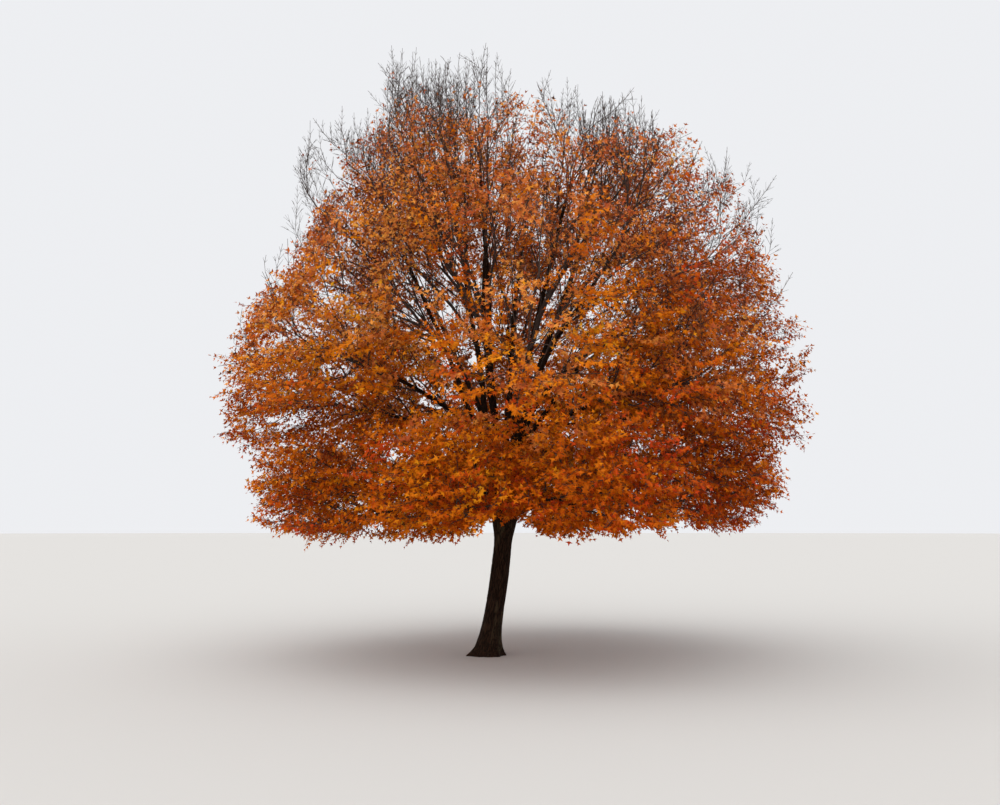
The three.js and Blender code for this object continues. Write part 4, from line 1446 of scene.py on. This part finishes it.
# %% The tree that sweeps a limb and marks its grain
def limb_tree():
    """Sweeps limbs along the paths. Each corner carries where it lies round and along its limb."""
    tree, source, result = new_tree("sweep limbs", [("Sides", "Int"), ("Bark", "Material")])

    def store(geometry, label, kind, value):
        """The same geometry, whose corners carry one more value."""
        inputs = {"Geometry": geometry, "Name": label, "Value": value}
        node = add_node(tree, "GeometryNodeStoreNamedAttribute", inputs, data_type=kind)
        return node.outputs["Geometry"]

    curve, ring = path_and_ring(tree, source)
    run = tree.nodes.new("GeometryNodeSplineParameter")
    curve = store(curve, "run", "FLOAT", run.outputs["Length"])
    ring = store(ring, "round", "FLOAT", run.outputs["Factor"])
    skin = sweep(tree, curve, ring)
    turn = math_node(tree, "MULTIPLY", attribute(tree, "round", "FLOAT"), 2 * math.pi)
    thick = attribute(tree, "thick", "FLOAT")
    ends = attribute(tree, "run", "FLOAT"), attribute(tree, "start", "FLOAT")
    grain = add_node(tree, "ShaderNodeCombineXYZ", {
        "X": math_node(tree, "MULTIPLY", math_node(tree, "COSINE", turn), thick),
        "Y": math_node(tree, "MULTIPLY", math_node(tree, "SINE", turn), thick),
        "Z": math_node(tree, "MULTIPLY", math_node(tree, "ADD", *ends), GRAIN_STRETCH),
    })
    skin = store(skin, "grain", "FLOAT_VECTOR", grain.outputs["Vector"])
    end_tree(tree, skin, source, result)
    return tree


sweep_limbs = limb_tree()

# %% Sweep the boughs and cut their relief
LIMB_SIDES = 14
COLLAR, COLLAR_FALL = 0.40, 0.06
GRAIN_APART = 7.0  # metres, so that no two boughs show the same stretch of the pattern


def bough_radii(number):
    """How thick a bough is at every point of its way."""
    mass, way = masses[number], bough_ways[number]
    share = np.linspace(0, 1, len(way))
    collar = 1 + COLLAR * np.exp(-share * len(way) * LIMB_SPACING / COLLAR_FALL)
    return limb_radius(mass["tier"], share) * collar


mesh = path_mesh("boughs", bough_ways, [bough_radii(number) for number in range(len(masses))])
starts = [np.full(len(way), GRAIN_APART * k) for k, way in enumerate(bough_ways)]
mark_points(mesh, "start", "FLOAT", np.concatenate(starts))
smooth_boughs = run_tree("boughs_smooth", mesh, sweep_limbs,
                         {"Sides": LIMB_SIDES, "Bark": limb_material})
boughs = run_tree("bough_bark", smooth_boughs.data, cut_relief, {
    "Furrow width": LIMB_FURROWS, "Furrow depth": 0.0016, "Lump size": 0.09,
    "Lump height": 0.010, "Bark": limb_material})
bpy.data.objects.remove(smooth_boughs)
boughs.data.shade_smooth()
dress(boughs, ["bough_" + mass["name"] for mass in masses])

# %% [markdown]
# ## Floor, light and camera
# The tree stands on a plain pale floor under an even pale sky, as on an overcast day: soft light
# from everywhere above, and hardly a shadow. A large soft sun stands for the brighter part of the
# cloud. The camera stands as a grown person does, twelve metres in front, and looks up a little.

# %% Set the stage
FLOOR_RADIUS, FLOOR_CORNERS, FLOOR_COLOUR = 300.0, 128, (0.62, 0.60, 0.57)
SKY = (0.85, 0.86, 0.885)
CLOUD_POWER, CLOUD_BREADTH, CLOUD_TURN = 1.6, 100, (30, -22, 0)  # the last two in degrees
CAMERA_PLACE = (EYE[0], EYE[1], 1.547)
CAMERA_LIFT = 7.53  # degrees above level
FOCAL_LENGTH, SENSOR = 34.2, 36.0

turns = np.linspace(0, 2 * math.pi, FLOOR_CORNERS, endpoint=False)
rim = np.stack([np.cos(turns), np.sin(turns), 0 * turns], axis=-1) * FLOOR_RADIUS
disc = bpy.data.meshes.new("floor")
disc.from_pydata(rim, [], [tuple(range(FLOOR_CORNERS))])
disc.materials.append(plain_material("pale floor", FLOOR_COLOUR, 0.9, 0.1))
floor = put_in_scene("floor", disc)

world = bpy.data.worlds.new("overcast")
world.use_nodes = True
world.node_tree.nodes["Background"].inputs["Color"].default_value = (*SKY, 1)
bpy.context.scene.world = world

cloud = put_in_scene("bright cloud", bpy.data.lights.new("bright cloud", "SUN"))
cloud.data.energy = CLOUD_POWER
cloud.data.angle = math.radians(CLOUD_BREADTH)
cloud.rotation_euler = [math.radians(turn) for turn in CLOUD_TURN]

camera = put_in_scene("camera", bpy.data.cameras.new("camera"))
camera.data.lens, camera.data.sensor_width = FOCAL_LENGTH, SENSOR
camera.data.clip_end = 2 * FLOOR_RADIUS
camera.location = CAMERA_PLACE
camera.rotation_euler = (math.radians(90 + CAMERA_LIFT), 0, 0)
bpy.context.scene.camera = camera
bpy.context.scene.view_settings.view_transform = "Standard"
print("the camera stands", round(-camera.location.y, 2), "m in front of the trunk")
